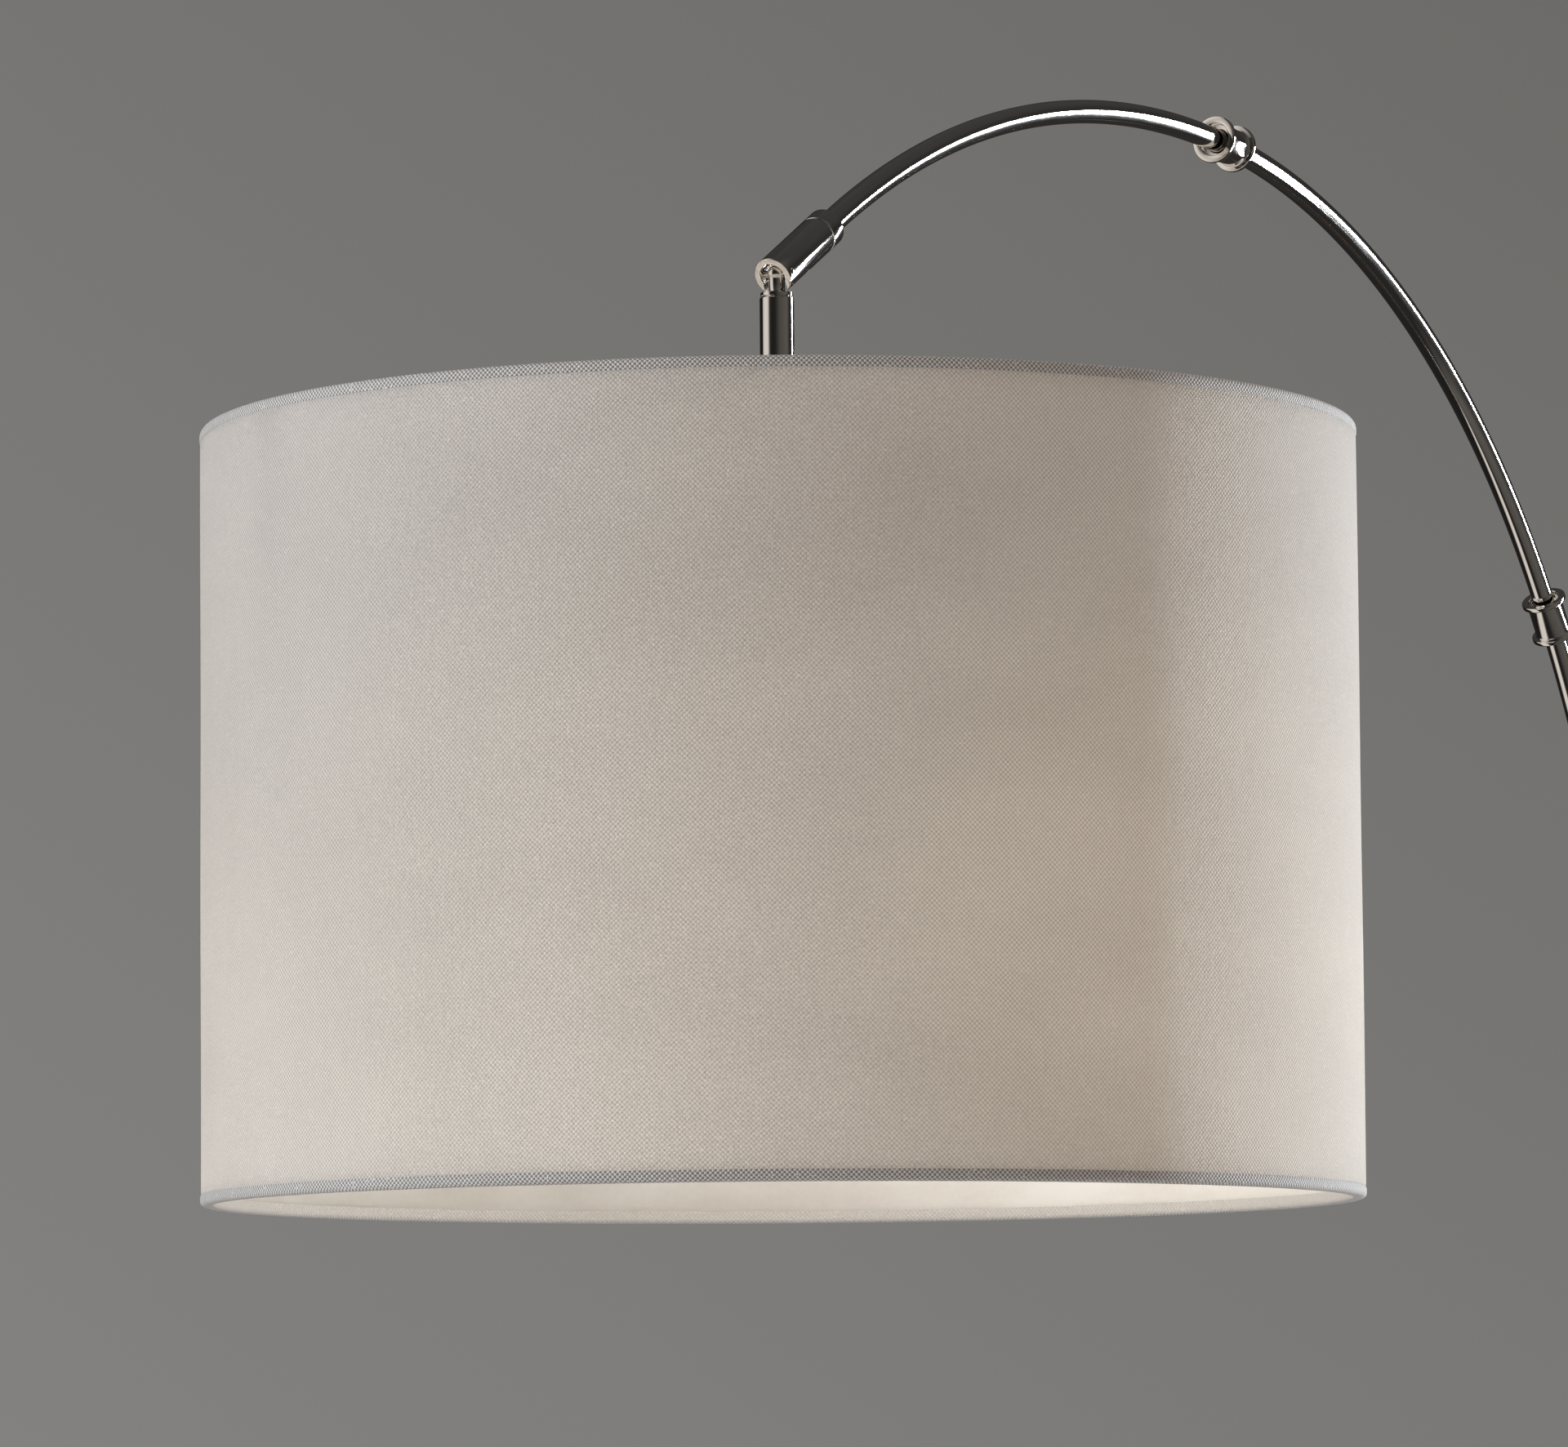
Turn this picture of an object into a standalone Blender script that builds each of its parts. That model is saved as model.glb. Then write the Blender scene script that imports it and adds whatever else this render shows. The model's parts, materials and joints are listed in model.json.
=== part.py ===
# Arc floor lamp: a heavy round base, a screwed tube pole that bends over in an arc, and a drum
# shade that hangs from a tilting knuckle. Metres, +Z up. The origin is the centre of the base's
# underside. The pole stands behind it at +X and the arm reaches forwards to the shade at -X.

import math

import bmesh
import bpy
from mathutils import Vector

INCH = 0.0254
GAP = 0.0003  # clearance between pieces that touch on the real lamp

# Flat sides round a turned piece, by its size
LARGE_SIDES = 44
MIDDLE_SIDES = 16
SMALL_SIDES = 12
TUBE_SIDES = 10

# Driving dimensions
SHADE_RADIUS = 9 * INCH
SHADE_HEIGHT = 12 * INCH
SHADE_BOTTOM_Z = 1.38
PIVOT_ABOVE_SHADE = 0.0642
BASE_RADIUS = 6 * INCH
POLE_OFFSET = 0.075  # the pole stands this far behind the base's centre

# The arm, from the knuckle's pivot to the top of the pole: it leaves the knuckle straight and
# rising, then turns over in three bends, one for each tube, and ends upright.
ARM_RISE = math.radians(31.7)
SLEEVE_RUN = 0.0484
UPPER_BEND = 0.529
UPPER_BEND_RUN = 0.3425
MIDDLE_BEND = 0.418
MIDDLE_BEND_RUN = 0.3670
LOWER_BEND = 0.600

ARM_TUBE = 0.0050
ARM_BORE = 0.0039
POLE_TUBE = 0.00675
POLE_BORE = 0.00545
STEM_TUBE = 0.00685
STEM_BORE = 0.0056

# Base
PAD_THICKNESS = 0.003
PAD_INSET = 0.0045
COVER_WALL = 0.0012
COVER_TOP_Z = 0.030
COVER_LIP_Z = 0.0016
COVER_ROUNDING = 0.008
SOCKET_HEIGHT = 0.0225
STUD_RADIUS = 0.0049
STUD_BORE = 0.0033
STUD_HOLE = 0.0054
WASHER_RADIUS = 0.0125
WASHER_THICKNESS = 0.0015
NUT_RADIUS = 0.0095
NUT_THICKNESS = 0.0045
NUT_RECESS_RADIUS = 0.0165
NUT_RECESS_TOP_Z = 0.0215
CHANNEL_WIDTH = 0.010
CHANNEL_TOP_Z = 0.0135
GLAND_Z = 0.0085
GLAND_RADIUS = 0.0045
LEAD_RADIUS = 0.0016

# Couplers between the tubes, shaped like spools
COUPLER_HALF = 0.0100
COUPLER_FLANGE = 0.0022
COUPLER_WEB = 0.0015
NIPPLE_RADIUS = 0.0030
NIPPLE_BORE = 0.0024
NIPPLE_HALF = 0.0130
POLE_NIPPLE_HALF = 0.0150
FLANGE_PROUD = 0.0053  # each of these three stands out from the wider tube
WAIST_PROUD = 0.0031
RECESS_PROUD = 0.0023
RECESS_DEPTH = 0.004

# Knuckle, measured along the arm from the pivot
FORK_RADIUS = 0.0080
FORK_BORE = 0.0055
FORK_START = -0.0037
FORK_WEB_START = 0.0275
FORK_WEB_END = 0.0300
FORK_END = 0.0355
FERRULE_END = 0.0455
SLOT_WIDTH = 0.0105
SLOT_END = 0.0165
PIN_RADIUS = 0.0015
TONGUE_HEAD = 0.0039
TONGUE_NECK = 0.0033
TONGUE_BORE = 0.0022
COLLAR_RADIUS = 0.00655
COLLAR_TOP = -0.0078
COLLAR_BOTTOM = -0.0095

# Shade, as distances in from its outer radius
HEM_THICKNESS = 0.0005
HEM_DEPTH = 0.0042
HEM_INNER_DEPTH = 0.0050
HEM_WIDTH = 0.0060
FABRIC_FROM, FABRIC_TO = 0.0008, 0.0014
LINER_FROM, LINER_TO = 0.0017, 0.0022
WIRE_INSET = 0.00385
WIRE_RADIUS = 0.0012

# Lampholder, as depths below the shade's top
STEM_DEPTH = 0.0480
CAP_TOP = 0.0483
CAP_BOTTOM = 0.0635
SHELL_BOTTOM = 0.1120
SHELL_RADIUS = 0.0166
SHELL_WALL = 0.0010
SWITCH_DEPTH = 0.0720
SHAFT_RADIUS = 0.0025
SHAFT_HOLE = 0.0030
HUB_TOP = 0.0848
HUB_BOTTOM = 0.0866
RING_RADIUS = 0.0210
RING_HEIGHT = 0.0100
HUB_RADIUS = 0.0230
HUB_BORE = 0.0171
SPIDER_ARMS = 3
BULB_RADIUS = 0.030
BULB_BOTTOM = 0.1960

# Worked out from the above
PIVOT_Z = SHADE_BOTTOM_Z + SHADE_HEIGHT + PIVOT_ABOVE_SHADE
SHADE_TOP_Z = SHADE_BOTTOM_Z + SHADE_HEIGHT


def arm_runs():
    """The arm's stretches as (length, bend radius or None), from the pivot to the upright."""
    turned_so_far = UPPER_BEND_RUN / UPPER_BEND + MIDDLE_BEND_RUN / MIDDLE_BEND
    left_to_turn = ARM_RISE + math.pi / 2 - turned_so_far
    return [
        (SLEEVE_RUN, None),
        (UPPER_BEND_RUN, UPPER_BEND),
        (MIDDLE_BEND_RUN, MIDDLE_BEND),
        (left_to_turn * LOWER_BEND, LOWER_BEND),
    ]


def arm_frame(distance):
    """Reach, rise and heading at a distance along the arm, measured from the pivot."""
    reach, rise, heading = 0.0, 0.0, ARM_RISE
    for length, bend in arm_runs():
        step = min(distance, length)
        if bend is None:
            reach += step * math.cos(heading)
            rise += step * math.sin(heading)
        else:
            turn = step / bend
            reach += bend * (math.sin(heading) - math.sin(heading - turn))
            rise += bend * (math.cos(heading - turn) - math.cos(heading))
            heading -= turn
        distance -= step
        if distance <= 0:
            break
    return reach, rise, heading


ARM_LENGTH = sum(length for length, bend in arm_runs())
SHADE_X = POLE_OFFSET - arm_frame(ARM_LENGTH)[0]
POLE_TOP_Z = PIVOT_Z + arm_frame(ARM_LENGTH)[1]
POLE_FOOT_Z = COVER_TOP_Z + GAP + 0.0052  # where the lowest tube stands in its socket
POLE_SECTION = (POLE_TOP_Z - POLE_FOOT_Z) / 3


def arm_place(distance):
    """World position and rotation of a piece whose own +Z lies along the arm."""
    reach, rise, heading = arm_frame(distance)
    return (SHADE_X + reach, 0, PIVOT_Z + rise), (0, math.pi / 2 - heading, 0)


def clear_scene():
    for obj in list(bpy.data.objects):
        bpy.data.objects.remove(obj, do_unlink=True)


def make_material(name, colour, roughness, metallic=0.0, alpha=1.0):
    material = bpy.data.materials.new(name)
    material.use_nodes = True
    shader = material.node_tree.nodes["Principled BSDF"]
    shader.inputs["Base Color"].default_value = (*colour, 1)
    shader.inputs["Roughness"].default_value = roughness
    shader.inputs["Metallic"].default_value = metallic
    shader.inputs["Alpha"].default_value = alpha
    return material


def place(obj, position=(0, 0, 0), rotation=(0, 0, 0), parent=None):
    """Puts an object at a world position, under a parent that is itself unturned."""
    obj.location = Vector(position)
    obj.rotation_euler = rotation
    if parent:
        obj.parent = parent
        obj.location -= parent.location
        if parent.parent:
            obj.location -= parent.parent.location
    return obj


def finish_mesh(name, bm, material):
    bmesh.ops.recalc_face_normals(bm, faces=bm.faces)
    mesh = bpy.data.meshes.new(name)
    bm.to_mesh(mesh)
    bm.free()
    mesh.shade_smooth()
    mesh.set_sharp_from_angle(angle=math.radians(35))
    obj = bpy.data.objects.new(name, mesh)
    bpy.context.scene.collection.objects.link(obj)
    if material:
        mesh.materials.append(material)
    return obj


def turned(name, outline, material, sides=SMALL_SIDES, **where):
    """A lathe-turned piece about +Z. An outline of (radius, height) that starts and ends on the
    axis makes a solid, and any other is closed on itself and makes a ring."""
    bm = bmesh.new()
    points = [bm.verts.new((radius, 0, height)) for radius, height in outline]
    solid = outline[0][0] == 0 and outline[-1][0] == 0
    ends = points[1:] if solid else points[1:] + points[:1]
    edges = [bm.edges.new(pair) for pair in zip(points, ends)]
    bmesh.ops.spin(
        bm,
        geom=points + edges,
        axis=(0, 0, 1),
        cent=(0, 0, 0),
        angle=2 * math.pi,
        steps=sides,
        use_merge=True,
    )
    bmesh.ops.remove_doubles(bm, verts=bm.verts, dist=1e-6)
    return place(finish_mesh(name, bm, material), **where)


def tube(name, outer, inner, low, high, material, sides=SMALL_SIDES, **where):
    outline = [(outer, low), (outer, high), (inner, high), (inner, low)]
    return turned(name, outline, material, sides, **where)


def rod(name, radius, low, high, material, sides=SMALL_SIDES, **where):
    outline = [(0, low), (radius, low), (radius, high), (0, high)]
    return turned(name, outline, material, sides, **where)


def hex_nut(name, radius, bore, low, high, material, **where):
    nut = rod(name, radius, low, high, material, 6, **where)
    cutter_place = {key: value for key, value in where.items() if key != "parent"}
    combine(nut, rod("cut_" + name, bore, low - 0.01, high + 0.01, None, **cutter_place))
    return nut


def bent_tube(name, outer, inner, start, runs, material, sides=TUBE_SIDES):
    """A tube that leaves its start along the arm and follows (length, bend radius) stretches."""
    bm = bmesh.new()
    for radius in (outer, inner):
        bmesh.ops.create_circle(bm, segments=sides, radius=radius)
    bmesh.ops.bridge_loops(bm, edges=bm.edges[:])
    end = bm.verts[:] + bm.edges[:] + bm.faces[:]
    reached = 0.0
    for length, bend in runs:
        if bend is None:
            tip = [item for item in end if isinstance(item, bmesh.types.BMFace)]
            made = bmesh.ops.extrude_face_region(bm, geom=tip)
            end = made["geom"]
            moved = [v for v in end if isinstance(v, bmesh.types.BMVert)]
            bmesh.ops.translate(bm, verts=moved, vec=(0, 0, length))
            reached += length
        else:
            made = bmesh.ops.spin(
                bm,
                geom=end,
                axis=(0, 1, 0),
                cent=(bend, 0, reached),
                angle=length / bend,
                steps=max(2, round(length / 0.030)),
            )
            end = made["geom_last"]
    position, rotation = arm_place(start)
    return place(finish_mesh(name, bm, material), position, rotation)


def box(name, low, high, **where):
    """A box between two corners, for cutting."""
    bm = bmesh.new()
    bmesh.ops.create_cube(bm, size=1)
    size = [b - a for a, b in zip(low, high)]
    middle = [(a + b) / 2 for a, b in zip(low, high)]
    bmesh.ops.scale(bm, verts=bm.verts, vec=size)
    bmesh.ops.translate(bm, verts=bm.verts, vec=middle)
    return place(finish_mesh(name, bm, None), **where)


def combine(target, helper, operation="DIFFERENCE"):
    """Cuts a helper from a piece, or joins it on, and keeps the helper out of renders."""
    helper.hide_render = True
    helper.display_type = "WIRE"
    modifier = target.modifiers.new(helper.name, "BOOLEAN")
    modifier.operation = operation
    modifier.object = helper


def wire_path(name, points, radius, material, rings=1, **where):
    """A round wire along points, as a curve with filled ends."""
    curve = bpy.data.curves.new(name, "CURVE")
    curve.dimensions = "3D"
    curve.bevel_depth = radius
    curve.bevel_resolution = rings
    curve.use_fill_caps = True
    spline = curve.splines.new("POLY")
    spline.points.add(len(points) - 1)
    for point, position in zip(spline.points, points):
        point.co = (*position, 1)
    obj = bpy.data.objects.new(name, curve)
    bpy.context.scene.collection.objects.link(obj)
    if material:
        curve.materials.append(material)
    return place(obj, **where)


def smooth_points(corners, steps):
    """Points along a Catmull-Rom curve through the corners."""
    padded = [corners[0], *corners, corners[-1]]
    found = []
    for a, b, c, d in zip(padded, padded[1:], padded[2:], padded[3:]):
        for step in range(steps):
            t = step / steps
            square = (2 * a - 5 * b + 4 * c - d) * t**2
            cube = (3 * b - a - 3 * c + d) * t**3
            found.append(0.5 * (2 * b + (c - a) * t + square + cube))
    return [*found, corners[-1]]


def make_base(steel, iron, foam, black):
    rod("base_pad", BASE_RADIUS - PAD_INSET, 0, PAD_THICKNESS, foam, LARGE_SIDES)

    steps = 3
    arc = [math.pi / 2 * step / steps for step in range(steps + 1)]
    bend_z = COVER_TOP_Z - COVER_ROUNDING
    bend_r = BASE_RADIUS - COVER_ROUNDING
    thin = COVER_ROUNDING - COVER_WALL
    # The skin's outline goes out along its inside, round the lip and back over its top
    outline = [(0, COVER_TOP_Z - COVER_WALL)]
    outline += [(bend_r + thin * math.cos(a), bend_z + thin * math.sin(a)) for a in reversed(arc)]
    outline += [(BASE_RADIUS - COVER_WALL, COVER_LIP_Z), (BASE_RADIUS, COVER_LIP_Z)]
    for angle in arc:
        reach = bend_r + COVER_ROUNDING * math.cos(angle)
        outline.append((reach, bend_z + COVER_ROUNDING * math.sin(angle)))
    outline.append((0, COVER_TOP_Z))
    cover = turned("base_cover", outline, steel, LARGE_SIDES)
    at_pole = {"position": (POLE_OFFSET, 0, 0)}
    hole = rod("cut_cover_stud", STUD_HOLE + 0.0008, 0.02, 0.04, None, MIDDLE_SIDES, **at_pole)
    combine(cover, hole)
    across = (0, math.pi / 2, 0)
    gland_place = {"position": (BASE_RADIUS, 0, GLAND_Z), "rotation": across}
    gland_hole = GLAND_RADIUS + GAP
    hole = rod("cut_cover_gland", gland_hole, -0.006, 0.006, None, MIDDLE_SIDES, **gland_place)
    combine(cover, hole)

    weight_radius = BASE_RADIUS - COVER_WALL - 0.0006
    low = PAD_THICKNESS + GAP
    high = COVER_TOP_Z - COVER_WALL - GAP
    slope = COVER_ROUNDING
    outline = [
        (0, low),
        (weight_radius, low),
        (weight_radius, high - slope),
        (weight_radius - slope, high),
        (0, high),
    ]
    weight = turned("base_weight", outline, iron, LARGE_SIDES)
    combine(weight, rod("cut_weight_stud", STUD_HOLE, -0.01, 0.05, None, **at_pole))
    nut_recess = rod(
        "cut_weight_nut",
        NUT_RECESS_RADIUS,
        -0.01,
        NUT_RECESS_TOP_Z,
        None,
        MIDDLE_SIDES,
        **at_pole,
    )
    combine(weight, nut_recess)
    half = CHANNEL_WIDTH / 2
    combine(weight, box("cut_weight_channel", (POLE_OFFSET, -half, -0.01), (0.2, half, CHANNEL_TOP_Z)))

    washer_top = NUT_RECESS_TOP_Z - GAP
    washer_low = washer_top - WASHER_THICKNESS
    nut_top = washer_low - GAP
    nut_low = nut_top - NUT_THICKNESS
    washer_sizes = (WASHER_RADIUS, STUD_HOLE, washer_low, washer_top)
    tube("base_washer", *washer_sizes, steel, MIDDLE_SIDES, **at_pole)
    hex_nut("base_nut", NUT_RADIUS, STUD_RADIUS + 2 * GAP, nut_low, nut_top, steel, **at_pole)
    stud_top = POLE_FOOT_Z + 0.028
    tube("base_stud", STUD_RADIUS, STUD_BORE, nut_low - 0.001, stud_top, steel, **at_pole)

    foot = COVER_TOP_Z + GAP
    top = foot + SOCKET_HEIGHT
    seat = POLE_FOOT_Z - GAP
    neck = POLE_TUBE + 0.0035
    lip = POLE_TUBE + 0.0054
    outline = [
        (STUD_HOLE, foot),
        (0.0200, foot),
        (0.0200, foot + 0.0025),
        (0.0180, foot + 0.0040),
        (neck, foot + 0.0055),
        (neck, top - COUPLER_FLANGE),
        (lip, top - COUPLER_FLANGE),
        (lip, top),
        (POLE_TUBE + 0.0024, top),
        (POLE_TUBE + 0.0024, top - 0.004),
        (POLE_TUBE + GAP, top - 0.004),
        (POLE_TUBE + GAP, seat),
        (STUD_HOLE, seat),
    ]
    turned("pole_socket", outline, steel, MIDDLE_SIDES, **at_pole)

    outline = [
        (0.0026, -0.009),
        (GLAND_RADIUS, -0.009),
        (GLAND_RADIUS, GAP),
        (0.0065, GAP),
        (0.0065, 0.0018),
        (0.0045, 0.0040),
        (0.0026, 0.0040),
    ]
    turned("cord_gland", outline, black, **gland_place)


def coupler_outline(tube_above, tube_below, web_bore):
    """A spool with a recess and a socket at each end, along its own axis."""
    wide = max(tube_above, tube_below)
    flange = wide + FLANGE_PROUD
    waist = wide + WAIST_PROUD
    web = COUPLER_WEB
    inner = COUPLER_HALF - COUPLER_FLANGE
    outline = [
        (tube_below + RECESS_PROUD, -COUPLER_HALF),
        (flange, -COUPLER_HALF),
        (flange, -inner),
        (waist, -inner),
        (waist, inner),
        (flange, inner),
        (flange, COUPLER_HALF),
        (tube_above + RECESS_PROUD, COUPLER_HALF),
        (tube_above + RECESS_PROUD, COUPLER_HALF - RECESS_DEPTH),
        (tube_above + GAP, COUPLER_HALF - RECESS_DEPTH),
        (tube_above + GAP, web),
        (web_bore, web),
        (web_bore, -web),
        (tube_below + GAP, -web),
        (tube_below + GAP, RECESS_DEPTH - COUPLER_HALF),
        (tube_below + RECESS_PROUD, RECESS_DEPTH - COUPLER_HALF),
    ]
    return outline


def make_pole(steel, zinc):
    end = COUPLER_WEB + GAP
    upper_end = SLEEVE_RUN + UPPER_BEND_RUN
    middle_end = upper_end + MIDDLE_BEND_RUN
    lower_run = arm_runs()[3][0]
    inside = FORK_WEB_END + GAP
    first = [(SLEEVE_RUN - inside, None), (UPPER_BEND_RUN - end, UPPER_BEND)]
    bent_tube("arc_tube_upper", ARM_TUBE, ARM_BORE, inside, first, steel)
    second = [(MIDDLE_BEND_RUN - 2 * end, MIDDLE_BEND)]
    bent_tube("arc_tube_middle", ARM_TUBE, ARM_BORE, upper_end + end, second, steel)
    third = [(lower_run - 2 * end, LOWER_BEND)]
    bent_tube("arc_tube_lower", ARM_TUBE, ARM_BORE, middle_end + end, third, steel)

    slim = coupler_outline(ARM_TUBE, ARM_TUBE, ARM_BORE)
    nipple = (NIPPLE_RADIUS, NIPPLE_BORE, -NIPPLE_HALF, NIPPLE_HALF)
    for name, distance in (("upper", upper_end), ("lower", middle_end)):
        position, rotation = arm_place(distance)
        where = {"position": position, "rotation": rotation}
        turned(f"arc_coupler_{name}", slim, steel, MIDDLE_SIDES, **where)
        tube(f"arc_nipple_{name}", *nipple, zinc, TUBE_SIDES, **where)

    stepped = coupler_outline(ARM_TUBE, POLE_TUBE, ARM_BORE)
    at_top = {"position": (POLE_OFFSET, 0, POLE_TOP_Z)}
    turned("pole_coupler_top", stepped, steel, MIDDLE_SIDES, **at_top)
    tube("pole_nipple_top", *nipple, zinc, TUBE_SIDES, **at_top)

    even = coupler_outline(POLE_TUBE, POLE_TUBE, STUD_RADIUS + GAP)
    for number, name in enumerate(("lower", "middle", "upper")):
        low = POLE_FOOT_Z + number * POLE_SECTION
        bottom = low + (end if number else 0)
        top = low + POLE_SECTION - end
        upright = {"position": (POLE_OFFSET, 0, 0)}
        tube(f"pole_tube_{name}", POLE_TUBE, POLE_BORE, bottom, top, steel, **upright)
    for number, name in ((1, "lower"), (2, "middle")):
        joint = {"position": (POLE_OFFSET, 0, POLE_FOOT_Z + number * POLE_SECTION)}
        turned(f"pole_coupler_{name}", even, steel, MIDDLE_SIDES, **joint)
        sizes = (STUD_RADIUS, STUD_BORE, -POLE_NIPPLE_HALF, POLE_NIPPLE_HALF)
        tube(f"pole_nipple_{name}", *sizes, zinc, TUBE_SIDES, **joint)


def make_knuckle(steel, zinc, tilt):
    position, rotation = arm_place(0)
    where = {"position": position, "rotation": rotation}
    outline = [
        (FORK_BORE, FORK_START),
        (FORK_RADIUS, FORK_START),
        (FORK_RADIUS, FORK_END),
        (ARM_TUBE + GAP, FORK_END),
        (ARM_TUBE + GAP, FORK_WEB_END),
        (ARM_BORE, FORK_WEB_END),
        (ARM_BORE, FORK_WEB_START),
        (FORK_BORE, FORK_WEB_START),
    ]
    fork = turned("knuckle_fork", outline, steel, MIDDLE_SIDES, **where)
    half = SLOT_WIDTH / 2
    # The fork's own +X side faces down, where the tongue leaves it.
    combine(fork, box("cut_fork_slot", (0, -half, -0.02), (0.02, half, SLOT_END), **where))
    across = (math.pi / 2, 0, 0)
    at_pivot = {"position": (SHADE_X, 0, PIVOT_Z), "rotation": across}
    combine(fork, rod("cut_fork_pin", PIN_RADIUS + GAP, -0.02, 0.02, None, **at_pivot))
    rod("knuckle_pin", PIN_RADIUS, -0.0075, 0.0075, zinc, **at_pivot)
    chamfer = 0.0012
    outline = [
        (ARM_TUBE + GAP, FORK_END + GAP),
        (FORK_RADIUS, FORK_END + GAP),
        (FORK_RADIUS, FERRULE_END - chamfer),
        (FORK_RADIUS - chamfer, FERRULE_END),
        (ARM_TUBE + GAP, FERRULE_END),
    ]
    turned("knuckle_ferrule", outline, steel, MIDDLE_SIDES, **where)

    ball = [math.radians(angle) for angle in (90, 60, 30, 0, -32)]
    outline = [(max(0, TONGUE_HEAD * math.cos(a)), TONGUE_HEAD * math.sin(a)) for a in ball]
    outline[0] = (0, TONGUE_HEAD)
    outline += [
        (TONGUE_NECK, COLLAR_TOP),
        (COLLAR_RADIUS, COLLAR_TOP),
        (COLLAR_RADIUS, COLLAR_BOTTOM),
        (STEM_BORE - GAP, COLLAR_BOTTOM),
        (STEM_BORE - GAP, COLLAR_BOTTOM - 0.009),
        (0, COLLAR_BOTTOM - 0.009),
    ]
    spot = {"position": (SHADE_X, 0, PIVOT_Z)}
    tongue = turned("knuckle_tongue", outline[::-1], steel, MIDDLE_SIDES, **spot, parent=tilt)
    combine(tongue, rod("cut_tongue_pin", PIN_RADIUS + GAP, -0.02, 0.02, None, **at_pivot))
    low = COLLAR_BOTTOM - 0.02
    combine(tongue, rod("cut_tongue_lead", TONGUE_BORE, low, -0.0030, None, **spot))


def wire_ring(name, radius, material, **where):
    steps = 6
    around = [2 * math.pi * step / steps for step in range(steps)]
    outline = [(radius + WIRE_RADIUS * math.cos(a), WIRE_RADIUS * math.sin(a)) for a in around]
    return turned(name, outline, material, LARGE_SIDES, **where)


def make_shade(fabric, liner, hem, steel, tilt):
    centre = {"position": (SHADE_X, 0, SHADE_BOTTOM_Z), "parent": tilt}
    edge = HEM_THICKNESS + GAP
    span = (edge, SHADE_HEIGHT - edge)
    walls = (SHADE_RADIUS - FABRIC_FROM, SHADE_RADIUS - FABRIC_TO)
    tube("shade_fabric", *walls, *span, fabric, LARGE_SIDES, **centre)
    walls = (SHADE_RADIUS - LINER_FROM, SHADE_RADIUS - LINER_TO)
    tube("shade_liner", *walls, *span, liner, LARGE_SIDES, **centre)
    inner = SHADE_RADIUS - HEM_WIDTH
    skin = HEM_THICKNESS
    channel = [
        (SHADE_RADIUS, 0),
        (SHADE_RADIUS, HEM_DEPTH),
        (SHADE_RADIUS - skin, HEM_DEPTH),
        (SHADE_RADIUS - skin, skin),
        (inner + skin, skin),
        (inner + skin, HEM_INNER_DEPTH),
        (inner, HEM_INNER_DEPTH),
        (inner, 0),
    ]
    turned("shade_hem_bottom", channel, hem, LARGE_SIDES, **centre)
    flipped = [(radius, SHADE_HEIGHT - height) for radius, height in reversed(channel)]
    turned("shade_hem_top", flipped, hem, LARGE_SIDES, **centre)

    ring_radius = SHADE_RADIUS - WIRE_INSET
    wire_z = edge + WIRE_RADIUS
    low_ring = {"position": (SHADE_X, 0, SHADE_BOTTOM_Z + wire_z), "parent": tilt}
    wire_ring("shade_ring_bottom", ring_radius, steel, **low_ring)

    top = {"position": (SHADE_X, 0, SHADE_TOP_Z), "parent": tilt}
    ring_place = {"position": (SHADE_X, 0, SHADE_TOP_Z - wire_z), "parent": tilt}
    spider = wire_ring("shade_spider", ring_radius, steel, **ring_place)
    hub = tube("join_spider_hub", HUB_RADIUS, HUB_BORE, -HUB_BOTTOM, -HUB_TOP, None, MIDDLE_SIDES, **top)
    combine(spider, hub, "UNION")
    hub_level = -(HUB_TOP + HUB_BOTTOM) / 2
    below_hem = -HEM_INNER_DEPTH - WIRE_RADIUS - 0.0012
    route = [
        Vector((ring_radius - 0.0003, 0, -wire_z)),
        Vector((ring_radius - 0.0003, 0, below_hem + 0.0015)),
        Vector((ring_radius - 0.005, 0, below_hem - 0.001)),
        Vector((ring_radius * 0.80, 0, below_hem - 0.004)),
        Vector((ring_radius * 0.45, 0, hub_level * 0.45)),
        Vector((HUB_RADIUS + 0.016, 0, hub_level + 0.006)),
        Vector((HUB_RADIUS - 0.002, 0, hub_level)),
    ]
    for number in range(SPIDER_ARMS):
        angle = math.radians(90 + number * 360 / SPIDER_ARMS)
        name = f"join_spider_arm_{number}"
        arm = wire_path(name, smooth_points(route, 2), WIRE_RADIUS, None, **top)
        arm.rotation_euler = (0, 0, angle)
        bpy.context.view_layer.update()
        graph = bpy.context.evaluated_depsgraph_get()
        mesh = bpy.data.meshes.new_from_object(arm.evaluated_get(graph))
        solid = bpy.data.objects.new(arm.name + "_solid", mesh)
        bpy.context.scene.collection.objects.link(solid)
        solid.matrix_world = arm.matrix_world
        bpy.data.objects.remove(arm, do_unlink=True)
        combine(spider, solid, "UNION")


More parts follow.
